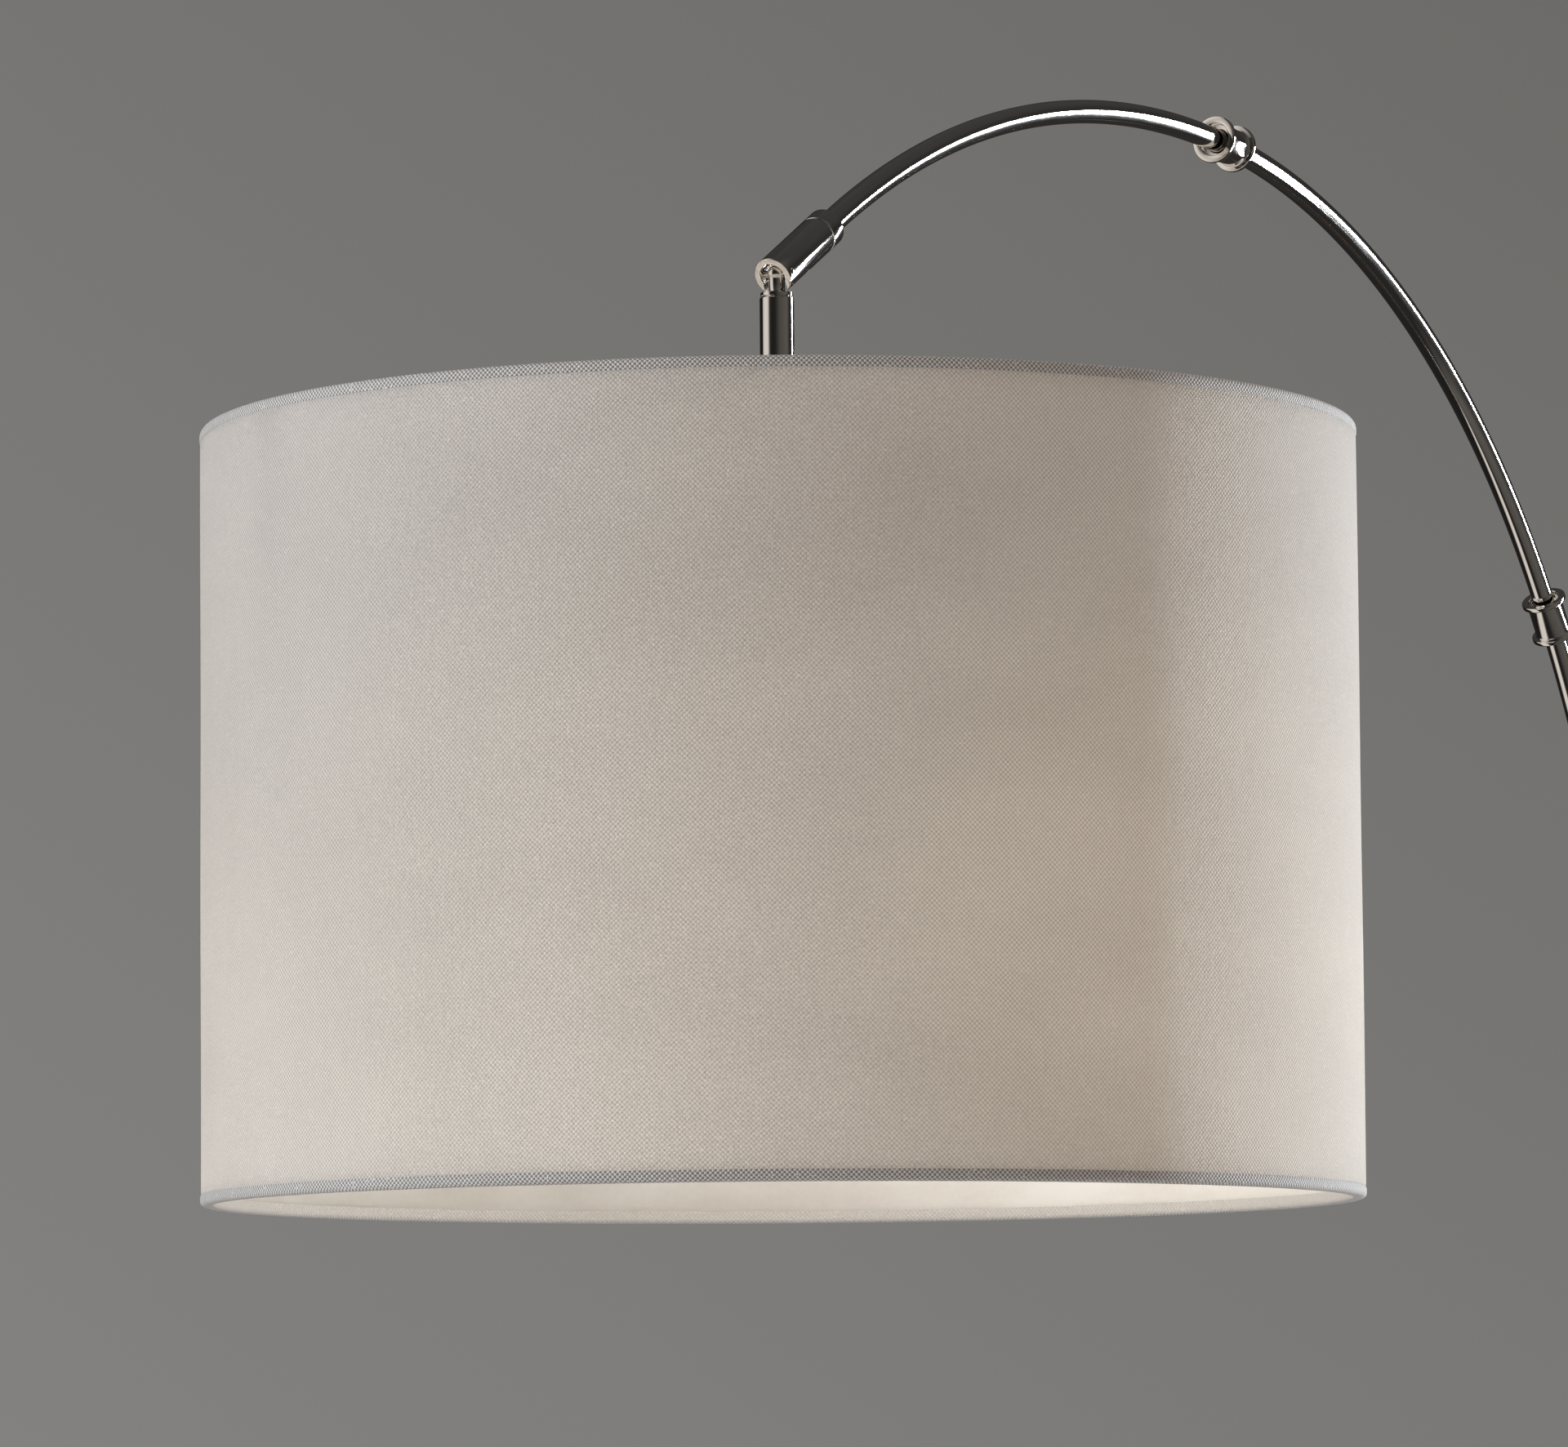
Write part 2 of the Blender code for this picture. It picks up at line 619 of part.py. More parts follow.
def make_lampholder(steel, brass, bakelite, card, tilt, switch):
    top = {"position": (SHADE_X, 0, SHADE_TOP_Z), "parent": tilt}
    stem_top = PIVOT_ABOVE_SHADE + COLLAR_BOTTOM - GAP
    tube("stem_tube", STEM_TUBE, STEM_BORE, -STEM_DEPTH, stem_top, steel, MIDDLE_SIDES, **top)
    tube("stem_nipple", STUD_RADIUS, STUD_BORE, -CAP_TOP - 0.0080, -STEM_DEPTH + 0.015, brass, **top)

    wall = SHELL_WALL
    outside = [
        (STUD_RADIUS + GAP, -CAP_TOP),
        (0.0080, -CAP_TOP),
        (0.0085, -CAP_TOP - 0.0030),
        (0.0130, -CAP_TOP - 0.0050),
        (0.0160, -CAP_TOP - 0.0085),
        (SHELL_RADIUS, -CAP_BOTTOM),
    ]
    inside = [
        (SHELL_RADIUS - wall, -CAP_BOTTOM),
        (0.0150, -CAP_TOP - 0.0092),
        (0.0122, -CAP_TOP - 0.0061),
        (0.0078, -CAP_TOP - 0.0042),
        (STUD_RADIUS + GAP, -CAP_TOP - 0.0030),
    ]
    turned("socket_cap", outside + inside, brass, MIDDLE_SIDES, **top)
    nut_top = -CAP_TOP - 0.0046
    hex_nut("socket_locknut", 0.0076, STUD_RADIUS + 2 * GAP, nut_top - 0.0030, nut_top, steel, **top)

    shoulder = HUB_TOP - GAP
    high = -CAP_BOTTOM - GAP
    outline = [
        (SHELL_RADIUS - wall, -SHELL_BOTTOM),
        (SHELL_RADIUS, -SHELL_BOTTOM),
        (SHELL_RADIUS, -shoulder),
        (SHELL_RADIUS + 0.0034, -shoulder),
        (SHELL_RADIUS + 0.0034, 0.0016 - shoulder),
        (SHELL_RADIUS, 0.0016 - shoulder),
        (SHELL_RADIUS, high),
        (SHELL_RADIUS - wall, high),
    ]
    shell = turned("socket_shell", outline, brass, MIDDLE_SIDES, **top)
    switch_axis = {"position": switch.location + tilt.location, "rotation": (math.pi / 2, 0, 0)}
    combine(shell, rod("cut_shell_shaft", SHAFT_HOLE, 0.005, 0.025, None, **switch_axis))
    insert_radius = SHELL_RADIUS - wall - 0.0006
    insert = rod("socket_insert", insert_radius, -0.0805, -0.0665, bakelite, MIDDLE_SIDES, **top)
    combine(insert, rod("cut_insert_shaft", SHAFT_HOLE, 0.005, 0.025, None, **switch_axis))

    thin = 0.0005
    liner = SHELL_RADIUS - wall - thin
    span = (-SHELL_BOTTOM + 0.001, -0.0815)
    tube("socket_liner", liner, liner - thin, *span, card, MIDDLE_SIDES, **top)
    screw = liner - thin - 0.0004
    span = (-SHELL_BOTTOM + 0.003, -0.0830)
    tube("socket_screw_shell", screw, screw - thin, *span, brass, MIDDLE_SIDES, **top)
    rod("socket_contact", 0.0040, -0.0826, -0.0818, brass, **top)
    span = (-HUB_BOTTOM - RING_HEIGHT, -HUB_BOTTOM - GAP)
    tube("socket_ring", RING_RADIUS, SHELL_RADIUS + GAP, *span, bakelite, MIDDLE_SIDES, **top)

    where = {"position": switch_axis["position"], "rotation": switch_axis["rotation"], "parent": switch}
    rod("switch_shaft", SHAFT_RADIUS, 0.0060, 0.0262, brass, **where)
    outline = [
        (0, 0.0265),
        (0, 0.0355),
        (0.0040, 0.0355),
        (0.0058, 0.0345),
        (0.0064, 0.0225),
        (0.0064, 0.0205),
        (SHAFT_RADIUS + GAP, 0.0205),
        (SHAFT_RADIUS + GAP, 0.0265),
    ]
    turned("switch_knob", outline, bakelite, MIDDLE_SIDES, **where)


def make_bulb(glass, metal, tilt):
    top = {"position": (SHADE_X, 0, SHADE_TOP_Z), "parent": tilt}
    cap = 0.0128
    skirt = 0.0006
    outline = [
        (cap, -0.1125),
        (cap, -0.0880),
        (0.0060, -0.0858),
        (0.0060, -0.0866),
        (cap - skirt, -0.0886),
        (cap - skirt, -0.1125),
    ]
    turned("bulb_cap", outline, metal, MIDDLE_SIDES, **top)
    outline = [
        (0, -0.0856),
        (0, -0.0845),
        (0.0030, -0.0845),
        (0.0050, -0.0853),
        (0.0050, -0.0856),
    ]
    turned("bulb_contact", outline, metal, **top)
    middle = BULB_BOTTOM - BULB_RADIUS
    wall = 0.0008
    neck = cap - skirt - GAP
    lobe = [math.radians(angle) for angle in (40, 15, -10, -35, -60, -80)]
    throat = [(neck, -0.0950), (neck, -0.1130), (0.0155, -0.1240), (0.0195, -0.1360)]
    inner = BULB_RADIUS - wall
    # Up the inside from the glass's lowest point, over the open neck and down the outside
    outline = [(0, -BULB_BOTTOM + wall)]
    outline += [(inner * math.cos(a), -middle + inner * math.sin(a)) for a in reversed(lobe)]
    outline += [(radius - wall, height) for radius, height in reversed(throat)]
    outline += throat
    outline += [(BULB_RADIUS * math.cos(a), -middle + BULB_RADIUS * math.sin(a)) for a in lobe]
    outline.append((0, -BULB_BOTTOM))
    turned("bulb_glass", outline, glass, MIDDLE_SIDES, **top)


def make_leads(black, tilt):
    """The flexible lead inside the tubes, from the gland to the knuckle and down the stem."""
    bend = 0.0085
    low = GLAND_Z
    turn = [math.pi / 2 * step / 4 for step in range(5)]
    level = (BASE_RADIUS + 0.002, BASE_RADIUS - 0.02, POLE_OFFSET + 0.03)
    points = [Vector((x, 0, low)) for x in level]
    for angle in turn:
        x = POLE_OFFSET + bend - bend * math.sin(angle)
        points.append(Vector((x, 0, low + bend - bend * math.cos(angle))))
    uprights = 6
    for step in range(1, uprights):
        height = low + bend + (POLE_TOP_Z - low - bend) * step / uprights
        points.append(Vector((POLE_OFFSET, 0, height)))
    stations = 36
    stop = FORK_WEB_START - 0.004
    for step in range(stations + 1):
        distance = ARM_LENGTH + (stop - ARM_LENGTH) * step / stations
        points.append(Vector(arm_place(distance)[0]))
    wire_path("lead_in_pole", points, LEAD_RADIUS, black)

    upper = COLLAR_TOP + 0.0035
    lower = CAP_TOP + 0.0150 + PIVOT_ABOVE_SHADE
    drop = [Vector((0, 0, upper + (-lower - upper) * step / 6)) for step in range(7)]
    wire_path("lead_in_stem", drop, LEAD_RADIUS, black, position=(SHADE_X, 0, PIVOT_Z), parent=tilt)


def make_empty(name, position, parent=None):
    empty = bpy.data.objects.new(name, None)
    bpy.context.scene.collection.objects.link(empty)
    return place(empty, position, parent=parent)


def main():
    clear_scene()
    steel = make_material("brushed_steel", (0.60, 0.58, 0.55), 0.28, 1)
    zinc = make_material("zinc_plate", (0.55, 0.55, 0.53), 0.4, 1)
    iron = make_material("cast_iron", (0.06, 0.06, 0.06), 0.8, 0.3)
    foam = make_material("base_foam", (0.03, 0.03, 0.03), 0.95)
    black = make_material("black_plastic", (0.02, 0.02, 0.02), 0.5)
    fabric = make_material("shade_linen", (0.80, 0.77, 0.72), 0.9)
    liner = make_material("shade_styrene", (0.88, 0.86, 0.82), 0.5)
    hem = make_material("hem_tape", (0.55, 0.57, 0.58), 0.9)
    brass = make_material("plated_brass", (0.70, 0.66, 0.55), 0.3, 1)
    bakelite = make_material("bakelite", (0.03, 0.025, 0.02), 0.4)
    card = make_material("insulating_card", (0.45, 0.36, 0.25), 0.9)
    bulb_metal = make_material("bulb_cap_metal", (0.75, 0.75, 0.75), 0.3, 1)
    glass = make_material("frosted_glass", (0.92, 0.92, 0.90), 0.4, 0, 0.6)

    tilt = make_empty("shade_tilt_axis", (SHADE_X, 0, PIVOT_Z))
    switch = make_empty("switch_turn_axis", (SHADE_X, 0, SHADE_TOP_Z - SWITCH_DEPTH), tilt)
    make_base(steel, iron, foam, black)
    make_pole(steel, zinc)
    make_knuckle(steel, zinc, tilt)
    make_lampholder(steel, brass, bakelite, card, tilt, switch)
    make_shade(fabric, liner, hem, steel, tilt)
    make_bulb(glass, bulb_metal, tilt)
    make_leads(black, tilt)


main()
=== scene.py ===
# Arc floor lamp: fine pieces, finishes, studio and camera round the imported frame.
import json
import math

import bmesh
import bpy
from mathutils import Matrix, Vector


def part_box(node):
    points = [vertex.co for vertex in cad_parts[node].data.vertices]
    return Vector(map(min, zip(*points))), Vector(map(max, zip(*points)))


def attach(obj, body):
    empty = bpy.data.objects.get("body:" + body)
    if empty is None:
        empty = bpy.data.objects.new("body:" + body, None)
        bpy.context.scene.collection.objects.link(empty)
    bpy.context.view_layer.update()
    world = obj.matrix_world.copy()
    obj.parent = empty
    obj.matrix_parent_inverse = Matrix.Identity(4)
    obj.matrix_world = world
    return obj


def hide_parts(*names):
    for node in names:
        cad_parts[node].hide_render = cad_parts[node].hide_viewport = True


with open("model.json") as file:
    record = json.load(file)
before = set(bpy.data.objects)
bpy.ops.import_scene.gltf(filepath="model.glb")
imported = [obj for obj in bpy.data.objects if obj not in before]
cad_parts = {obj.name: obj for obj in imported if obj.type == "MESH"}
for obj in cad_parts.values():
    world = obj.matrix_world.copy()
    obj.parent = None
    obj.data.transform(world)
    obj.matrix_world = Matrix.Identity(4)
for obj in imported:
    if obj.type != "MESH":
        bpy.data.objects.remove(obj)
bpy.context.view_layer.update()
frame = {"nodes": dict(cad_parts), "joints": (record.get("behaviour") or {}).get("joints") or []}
print("frame loaded")

# Places read off the frame
hemLow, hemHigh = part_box("shade_hem_bottom")
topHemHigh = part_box("shade_hem_top")[1]
shadeX = (hemLow.x + hemHigh.x) / 2
shadeRadius = (hemHigh.x - hemLow.x) / 2
shadeFoot = hemLow.z
shadeTop = topHemHigh.z
joints = {joint["name"]: joint for joint in frame["joints"]}
pivot = Vector(joints["shade_tilt"]["pos_m"])
switchAxis = Vector(joints["switch_turn"]["pos_m"])
poleLow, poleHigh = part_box("pole_tube_lower")
poleX = (poleLow.x + poleHigh.x) / 2
poleFoot = poleLow.z
atShadeTop = Matrix.Translation((shadeX, 0, shadeTop))
atShadeFoot = Matrix.Translation((shadeX, 0, shadeFoot))

studioTurn = math.radians(-58)  # the studio's "away" direction, turned from +Y


def newMaterial(name):
    material = bpy.data.materials.new(name)
    material.use_nodes = True
    tree = material.node_tree
    tree.nodes.clear()
    return material, tree


def put(tree, kind, inputs=None, **settings):
    node = tree.nodes.new(kind)
    for key, value in settings.items():
        setattr(node, key, value)
    for key, value in (inputs or {}).items():
        if isinstance(value, bpy.types.NodeSocket):
            tree.links.new(value, node.inputs[key])
        else:
            node.inputs[key].default_value = value
    return node


def calc(tree, operation, *values):
    return put(tree, "ShaderNodeMath", dict(enumerate(values)), operation=operation).outputs[0]


def weighted(tree, *terms):
    total = None
    for value, weight in terms:
        part = calc(tree, "MULTIPLY", value, weight)
        total = part if total is None else calc(tree, "ADD", total, part)
    return total


def blendColour(tree, fac, low, high, mode="MIX"):
    node = put(tree, "ShaderNodeMix", data_type="RGBA", blend_type=mode)
    sockets = {"Factor_Float": fac, "A_Color": low, "B_Color": high}
    for socket in node.inputs:
        if socket.identifier in sockets:
            value = sockets[socket.identifier]
            if isinstance(value, bpy.types.NodeSocket):
                tree.links.new(value, socket)
            elif socket.type == "RGBA":
                socket.default_value = (*value, 1)
            else:
                socket.default_value = value
    return next(s for s in node.outputs if s.identifier == "Result_Color")


def fit(tree, value, low, high, toLow, toHigh):
    sockets = {"Value": value, "From Min": low, "From Max": high, "To Min": toLow, "To Max": toHigh}
    return put(tree, "ShaderNodeMapRange", sockets).outputs["Result"]


def noise(tree, vector, scale, detail=2.0, rough=0.5):
    sockets = {"Vector": vector, "Scale": scale, "Detail": detail, "Roughness": rough}
    return put(tree, "ShaderNodeTexNoise", sockets).outputs["Fac"]


def spread(tree, vector, scale):
    return put(tree, "ShaderNodeMapping", {"Vector": vector, "Scale": scale}).outputs["Vector"]


def bump(tree, height, distance, strength=1.0, normal=None):
    sockets = {"Height": height, "Distance": distance, "Strength": strength}
    if normal is not None:
        sockets["Normal"] = normal
    return put(tree, "ShaderNodeBump", sockets).outputs["Normal"]


def blendShaders(tree, fac, first, second):
    sockets = {0: fac, 1: first.outputs[0], 2: second.outputs[0]}
    return put(tree, "ShaderNodeMixShader", sockets)


def roughnessFrom(tree, value, look):
    low, high = look["rough"] - look["roughSpread"], look["rough"] + look["roughSpread"]
    return fit(tree, value, 0.3, 0.7, low, high)


def dotsOf(tree, vector, scale):
    sockets = {"Vector": vector, "Scale": scale, "Randomness": 1.0}
    return put(tree, "ShaderNodeTexVoronoi", sockets).outputs


def surface(tree, shader):
    put(tree, "ShaderNodeOutputMaterial", {"Surface": shader.outputs[0]})


# Metals: fine lines in the "grain" attribute, which follows each piece as it was drawn or turned
def brushedMetal(name, look):
    material, tree = newMaterial(name)
    grain = put(tree, "ShaderNodeAttribute", attribute_name="grain").outputs["Vector"]
    place = put(tree, "ShaderNodeTexCoord").outputs["Object"]
    fine = noise(tree, grain, 1.0, 3.0, 0.6)
    broad = noise(tree, spread(tree, grain, (0.22, 0.22, 0.5)), 1.0, 2.0)
    handled = noise(tree, place, 26.0, 4.0, 0.6)
    mixed = weighted(tree, (fine, 0.65), (broad, 0.35))
    colour = blendColour(tree, fit(tree, mixed, 0.3, 0.7, 0.0, 1.0), look["dark"], look["light"])
    roughness = roughnessFrom(tree, mixed, look)
    smudge = fit(tree, handled, 0.52, 0.75, 0.0, look["smudge"])
    shader = put(tree, "ShaderNodeBsdfPrincipled", {
        "Base Color": colour,
        "Metallic": 1.0,
        "Roughness": calc(tree, "ADD", roughness, smudge),
        "Normal": bump(tree, mixed, look["lineDepth"]),
    })
    surface(tree, shader)
    return material


def castSurface(name, look):
    material, tree = newMaterial(name)
    place = put(tree, "ShaderNodeTexCoord").outputs["Object"]
    coarse = noise(tree, place, look["coarse"], 4.0, 0.6)
    fine = noise(tree, place, look["fine"], 3.0, 0.65)
    both = weighted(tree, (coarse, 0.5), (fine, 0.5))
    colour = blendColour(tree, fit(tree, both, 0.3, 0.7, 0.0, 1.0), look["dark"], look["light"])
    shader = put(tree, "ShaderNodeBsdfPrincipled", {
        "Base Color": colour,
        "Metallic": look.get("metallic", 0.0),
        "Roughness": roughnessFrom(tree, both, look),
        "Coat Weight": look.get("coat", 0.0),
        "Specular IOR Level": look.get("specular", 0.5),
        "Normal": bump(tree, both, look["depth"]),
    })
    surface(tree, shader)
    return material


# Cloth: a plain weave drawn in the "cloth" UV map, which is in metres along the cut sheet
def wovenCloth(name, look):
    material, tree = newMaterial(name)
    cloth = put(tree, "ShaderNodeUVMap", uv_map="cloth").outputs["UV"]
    along = put(tree, "ShaderNodeSeparateXYZ", {"Vector": cloth})
    pitch = look["yarnPitch"]
    turn = math.pi / pitch
    # Yarns wander a little, so the rows aren't ruled lines
    wander = noise(tree, spread(tree, cloth, (90, 90, 1)), 1.0, 2.0)
    drift = calc(tree, "MULTIPLY", calc(tree, "SUBTRACT", wander, 0.5), look["wander"] * pitch)
    across = calc(tree, "MULTIPLY", calc(tree, "ADD", along.outputs["X"], drift), turn)
    upward = calc(tree, "MULTIPLY", calc(tree, "ADD", along.outputs["Y"], drift), turn)
    sineAcross = calc(tree, "SINE", across)
    sineUp = calc(tree, "SINE", upward)
    crossing = calc(tree, "MULTIPLY", sineAcross, sineUp)  # over and under, as a chequer
    gaps = calc(tree, "MAXIMUM", calc(tree, "ABSOLUTE", sineAcross), calc(tree, "ABSOLUTE", sineUp))
    weft = noise(tree, spread(tree, cloth, (70, 1 / pitch, 1)), 1.0, 2.0)
    warp = noise(tree, spread(tree, cloth, (1 / pitch, 55, 1)), 1.0, 2.0)
    slubs = weighted(tree, (weft, 0.5), (warp, 0.5))
    patches = noise(tree, spread(tree, cloth, (11, 11, 1)), 1.0, 3.0, 0.55)
    fuzz = noise(tree, spread(tree, cloth, (2600, 2600, 1)), 1.0, 2.0, 0.7)
    strength = fit(tree, patches, 0.35, 0.65, look["weaveLow"], look["weaveHigh"])
    height = weighted(tree, (crossing, 0.5), (gaps, 0.35), (slubs, 0.9), (fuzz, 0.5))
    shadeOf = calc(tree, "MULTIPLY", crossing, strength)
    shadeOf = calc(tree, "ADD", shadeOf, fit(tree, slubs, 0.3, 0.7, -look["slub"], look["slub"]))
    shadeOf = calc(tree, "ADD", shadeOf, fit(tree, patches, 0.3, 0.7, -0.02, 0.02))
    shadeOf = calc(tree, "ADD", shadeOf, fit(tree, fuzz, 0.3, 0.7, -0.03, 0.03))
    # Each crossing gets its own random tone, and a few dots are painted white as glints: painted
    # highlights
    column = calc(tree, "FLOOR", calc(tree, "DIVIDE", across, math.pi))
    row = calc(tree, "FLOOR", calc(tree, "DIVIDE", upward, math.pi))
    crossingAt = put(tree, "ShaderNodeCombineXYZ", {"X": column, "Y": row}).outputs["Vector"]
    luck = put(tree, "ShaderNodeTexWhiteNoise", {"Vector": crossingAt}, noise_dimensions="2D")
    uneven = fit(tree, luck.outputs["Value"], 0.0, 1.0, -look["uneven"], look["uneven"])
    uneven = calc(tree, "MULTIPLY", uneven, calc(tree, "ABSOLUTE", crossing))
    shadeOf = calc(tree, "ADD", shadeOf, uneven)
    dots = dotsOf(tree, cloth, 1.15 / pitch)
    dotLuck = put(tree, "ShaderNodeSeparateColor", {"Color": dots["Color"]}).outputs["Red"]
    chosen = calc(tree, "GREATER_THAN", dotLuck, look["paintedGlintFrom"])
    paintedGlint = calc(tree, "MULTIPLY", chosen, fit(tree, dots["Distance"], 0.34, 0.56, 1.0, 0.0))
    tone = fit(tree, shadeOf, -0.3, 0.3, 0.0, 1.0)
    colour = blendColour(tree, tone, look["dark"], look["light"])
    # Painted highlight: the glint dots turn the cloth colour white
    colour = blendColour(tree, paintedGlint, colour, (1.0, 1.0, 1.0))
    # A few specks of dark fibre caught in the weave
    cells = dotsOf(tree, cloth, look["specks"])
    speck = fit(tree, cells["Distance"], look["speckSize"], look["speckSize"] * 1.6, 1.0, 0.0)
    colour = blendColour(tree, speck, colour, look["speckColour"])
    normal = bump(tree, height, look["depth"])
    face = put(tree, "ShaderNodeBsdfPrincipled", {
        "Base Color": colour,
        "Roughness": look["rough"],
        "Specular IOR Level": look["specular"],
        "Sheen Weight": look["sheen"],
        "Sheen Roughness": 0.35,
        "Normal": normal,
    })
    if not look["glow"]:
        surface(tree, face)
        return material
    warm = blendColour(tree, tone, look["glowDark"], look["glowLight"])
    warm = blendColour(tree, speck, warm, look["speckColour"])
    through = put(tree, "ShaderNodeBsdfTranslucent", {"Color": warm})
    surface(tree, blendShaders(tree, look["glow"], face, through))
    return material


def milkySheet(name, look):
    material, tree = newMaterial(name)
    place = put(tree, "ShaderNodeTexCoord").outputs["Object"]
    smudges = noise(tree, spread(tree, place, (9, 9, 22)), 1.0, 5.0, 0.62)
    dust = noise(tree, place, 420.0, 2.0)
    near, far = look["speckSize"], look["speckSize"] * 2
    marks = dotsOf(tree, place, look["specks"])
    speck = fit(tree, marks["Distance"], near, far, look["speckDepth"], 0.0)
    tone = weighted(tree, (smudges, 0.85), (dust, 0.15))
    colour = blendColour(tree, fit(tree, tone, 0.36, 0.64, 0.0, 1.0), look["dark"], look["light"])
    colour = blendColour(tree, speck, colour, (0.35, 0.29, 0.22))
    face = put(tree, "ShaderNodeBsdfPrincipled", {
        "Base Color": colour,
        "Roughness": fit(tree, smudges, 0.35, 0.65, look["rough"] - 0.08, look["rough"] + 0.08),
        "Specular IOR Level": look["specular"],
        "Normal": bump(tree, tone, look["depth"]),
    })
    through = put(tree, "ShaderNodeBsdfTranslucent", {"Color": colour})
    surface(tree, blendShaders(tree, look["glow"], face, through))
    return material


nickelLook = {
    "dark": (0.79, 0.76, 0.72),
    "light": (0.91, 0.885, 0.85),
    "rough": 0.08,
    "roughSpread": 0.02,
    "smudge": 0.03,
    "lineDepth": 0.0000025,
}
nickel = brushedMetal("brushedNickel", nickelLook)
turnedNickel = brushedMetal("turnedNickel", {**nickelLook, "rough": 0.075, "lineDepth": 0.0000015})
coverNickel = brushedMetal("coverNickel", {
    **nickelLook,
    "rough": 0.26,
    "roughSpread": 0.06,
    "lineDepth": 0.00002,
})
satinBrass = brushedMetal("platedBrass", {
    **nickelLook,
    "dark": (0.50, 0.46, 0.36),
    "light": (0.66, 0.62, 0.50),
    "rough": 0.28,
})
bulbMetal = brushedMetal("bulbMetal", {
    **nickelLook,
    "dark": (0.66, 0.66, 0.66),
    "light": (0.80, 0.80, 0.80),
    "rough": 0.22,
})
zinc = castSurface("zincPlate", {
    "coarse": 160.0,
    "fine": 900.0,
    "dark": (0.42, 0.42, 0.40),
    "light": (0.60, 0.60, 0.57),
    "rough": 0.36,
    "roughSpread": 0.08,
    "metallic": 1.0,
    "depth": 0.00002,
})
castIron = castSurface("castIron", {
    "coarse": 45.0,
    "fine": 420.0,
    "dark": (0.025, 0.025, 0.025),
    "light": (0.07, 0.068, 0.065),
    "rough": 0.75,
    "roughSpread": 0.12,
    "depth": 0.0006,
})
footFoam = castSurface("footFoam", {
    "coarse": 120.0,
    "fine": 1500.0,
    "dark": (0.012, 0.012, 0.012),
    "light": (0.035, 0.035, 0.035),
    "rough": 0.9,
    "roughSpread": 0.06,
    "specular": 0.2,
    "depth": 0.0003,
})
blackMoulding = castSurface("blackMoulding", {
    "coarse": 60.0,
    "fine": 2400.0,
    "dark": (0.012, 0.012, 0.012),
    "light": (0.028, 0.027, 0.026),
    "rough": 0.42,
    "roughSpread": 0.08,
    "depth": 0.00004,
})
bakelite = castSurface("bakelite", {
    "coarse": 35.0,
    "fine": 1800.0,
    "dark": (0.010, 0.008, 0.007),
    "light": (0.030, 0.024, 0.020),
    "rough": 0.27,
    "roughSpread": 0.06,
    "coat": 0.15,
    "depth": 0.00002,
})
card = castSurface("insulatingCard", {
    "coarse": 90.0,
    "fine": 1200.0,
    "dark": (0.30, 0.22, 0.14),
    "light": (0.48, 0.37, 0.25),
    "rough": 0.85,
    "roughSpread": 0.08,
    "specular": 0.2,
    "depth": 0.0001,
})
enamel = castSurface("wireEnamel", {
    "coarse": 30.0,
    "fine": 700.0,
    "dark": (0.66, 0.65, 0.61),
    "light": (0.78, 0.77, 0.73),
    "rough": 0.38,
    "roughSpread": 0.07,
    "coat": 0.1,
    "depth": 0.00005,
})
clothLook = {
    "yarnPitch": 0.00094,
    "wander": 0.55,
    "weaveLow": 0.30,
    "weaveHigh": 0.46,
    "slub": 0.05,
    "uneven": 0.14,
    # How rare the painted white glint dots (painted highlights) are
    "paintedGlintFrom": 0.965,
    "dark": (0.56, 0.56, 0.56),
    "light": (0.96, 0.965, 0.965),
    "glowDark": (0.635, 0.565, 0.48),
    "glowLight": (0.98, 0.90, 0.77),
    "glow": 0.42,
    "rough": 0.62,
    "specular": 0.45,
    "sheen": 0.25,
    "depth": 0.00030,
    "specks": 8.0,
    "speckSize": 0.0035,
    "speckColour": (0.10, 0.09, 0.08),
}
shadeCloth = wovenCloth("shadeCloth", clothLook)
hemCloth = wovenCloth("hemCloth", {
    **clothLook,
    "glow": 0.0,
    "specks": 0.5,
    "dark": (0.26, 0.255, 0.245),
    "light": (0.95, 0.93, 0.885),
    "weaveLow": 0.5,
    "weaveHigh": 0.7,
})
tuckCloth = wovenCloth("tuckCloth", {
    **clothLook,
    "specks": 0.5,
    "paintedGlintFrom": 1.0,
    "dark": (0.60, 0.58, 0.56),
    "light": (0.75, 0.735, 0.71),
    "weaveLow": 0.12,
    "weaveHigh": 0.18,
    "glow": 0.3,
})
styrene = milkySheet("shadeBacking", {
    "dark": (0.80, 0.775, 0.745),
    "light": (0.915, 0.90, 0.88),
    "glow": 0.70,
    "rough": 0.42,
    "specular": 0.35,
    "specks": 7.0,
    "speckSize": 0.010,
    "speckDepth": 0.5,
    "depth": 0.0001,
})
frosted = milkySheet("frostedGlass", {
    "dark": (0.84, 0.84, 0.82),
    "light": (0.94, 0.94, 0.92),
    "glow": 0.5,
    "rough": 0.3,
    "specular": 0.5,
    "specks": 0.5,
    "speckSize": 0.001,
    "speckDepth": 0.0,
    "depth": 0.00003,
})
print("finishes made")

grainFine = 0.00016  # metres for one step of the fine lines
grainLong = 0.011


def softened(outline, size, steps=3, closed=True):
    found = []
    count = len(outline)
    for index, point in enumerate(outline):
        here = Vector(point)
        if not closed and index in (0, count - 1):
            found.append(here)
            continue
        before = Vector(outline[index - 1]) - here
        after = Vector(outline[(index + 1) % count]) - here
        reach = min(size, 0.42 * before.length, 0.42 * after.length)
        start = here + before.normalized() * reach
        end = here + after.normalized() * reach
        for step in range(steps + 1):
            t = step / steps
            found.append(start * (1 - t) ** 2 + here * 2 * t * (1 - t) + end * t**2)
    return found


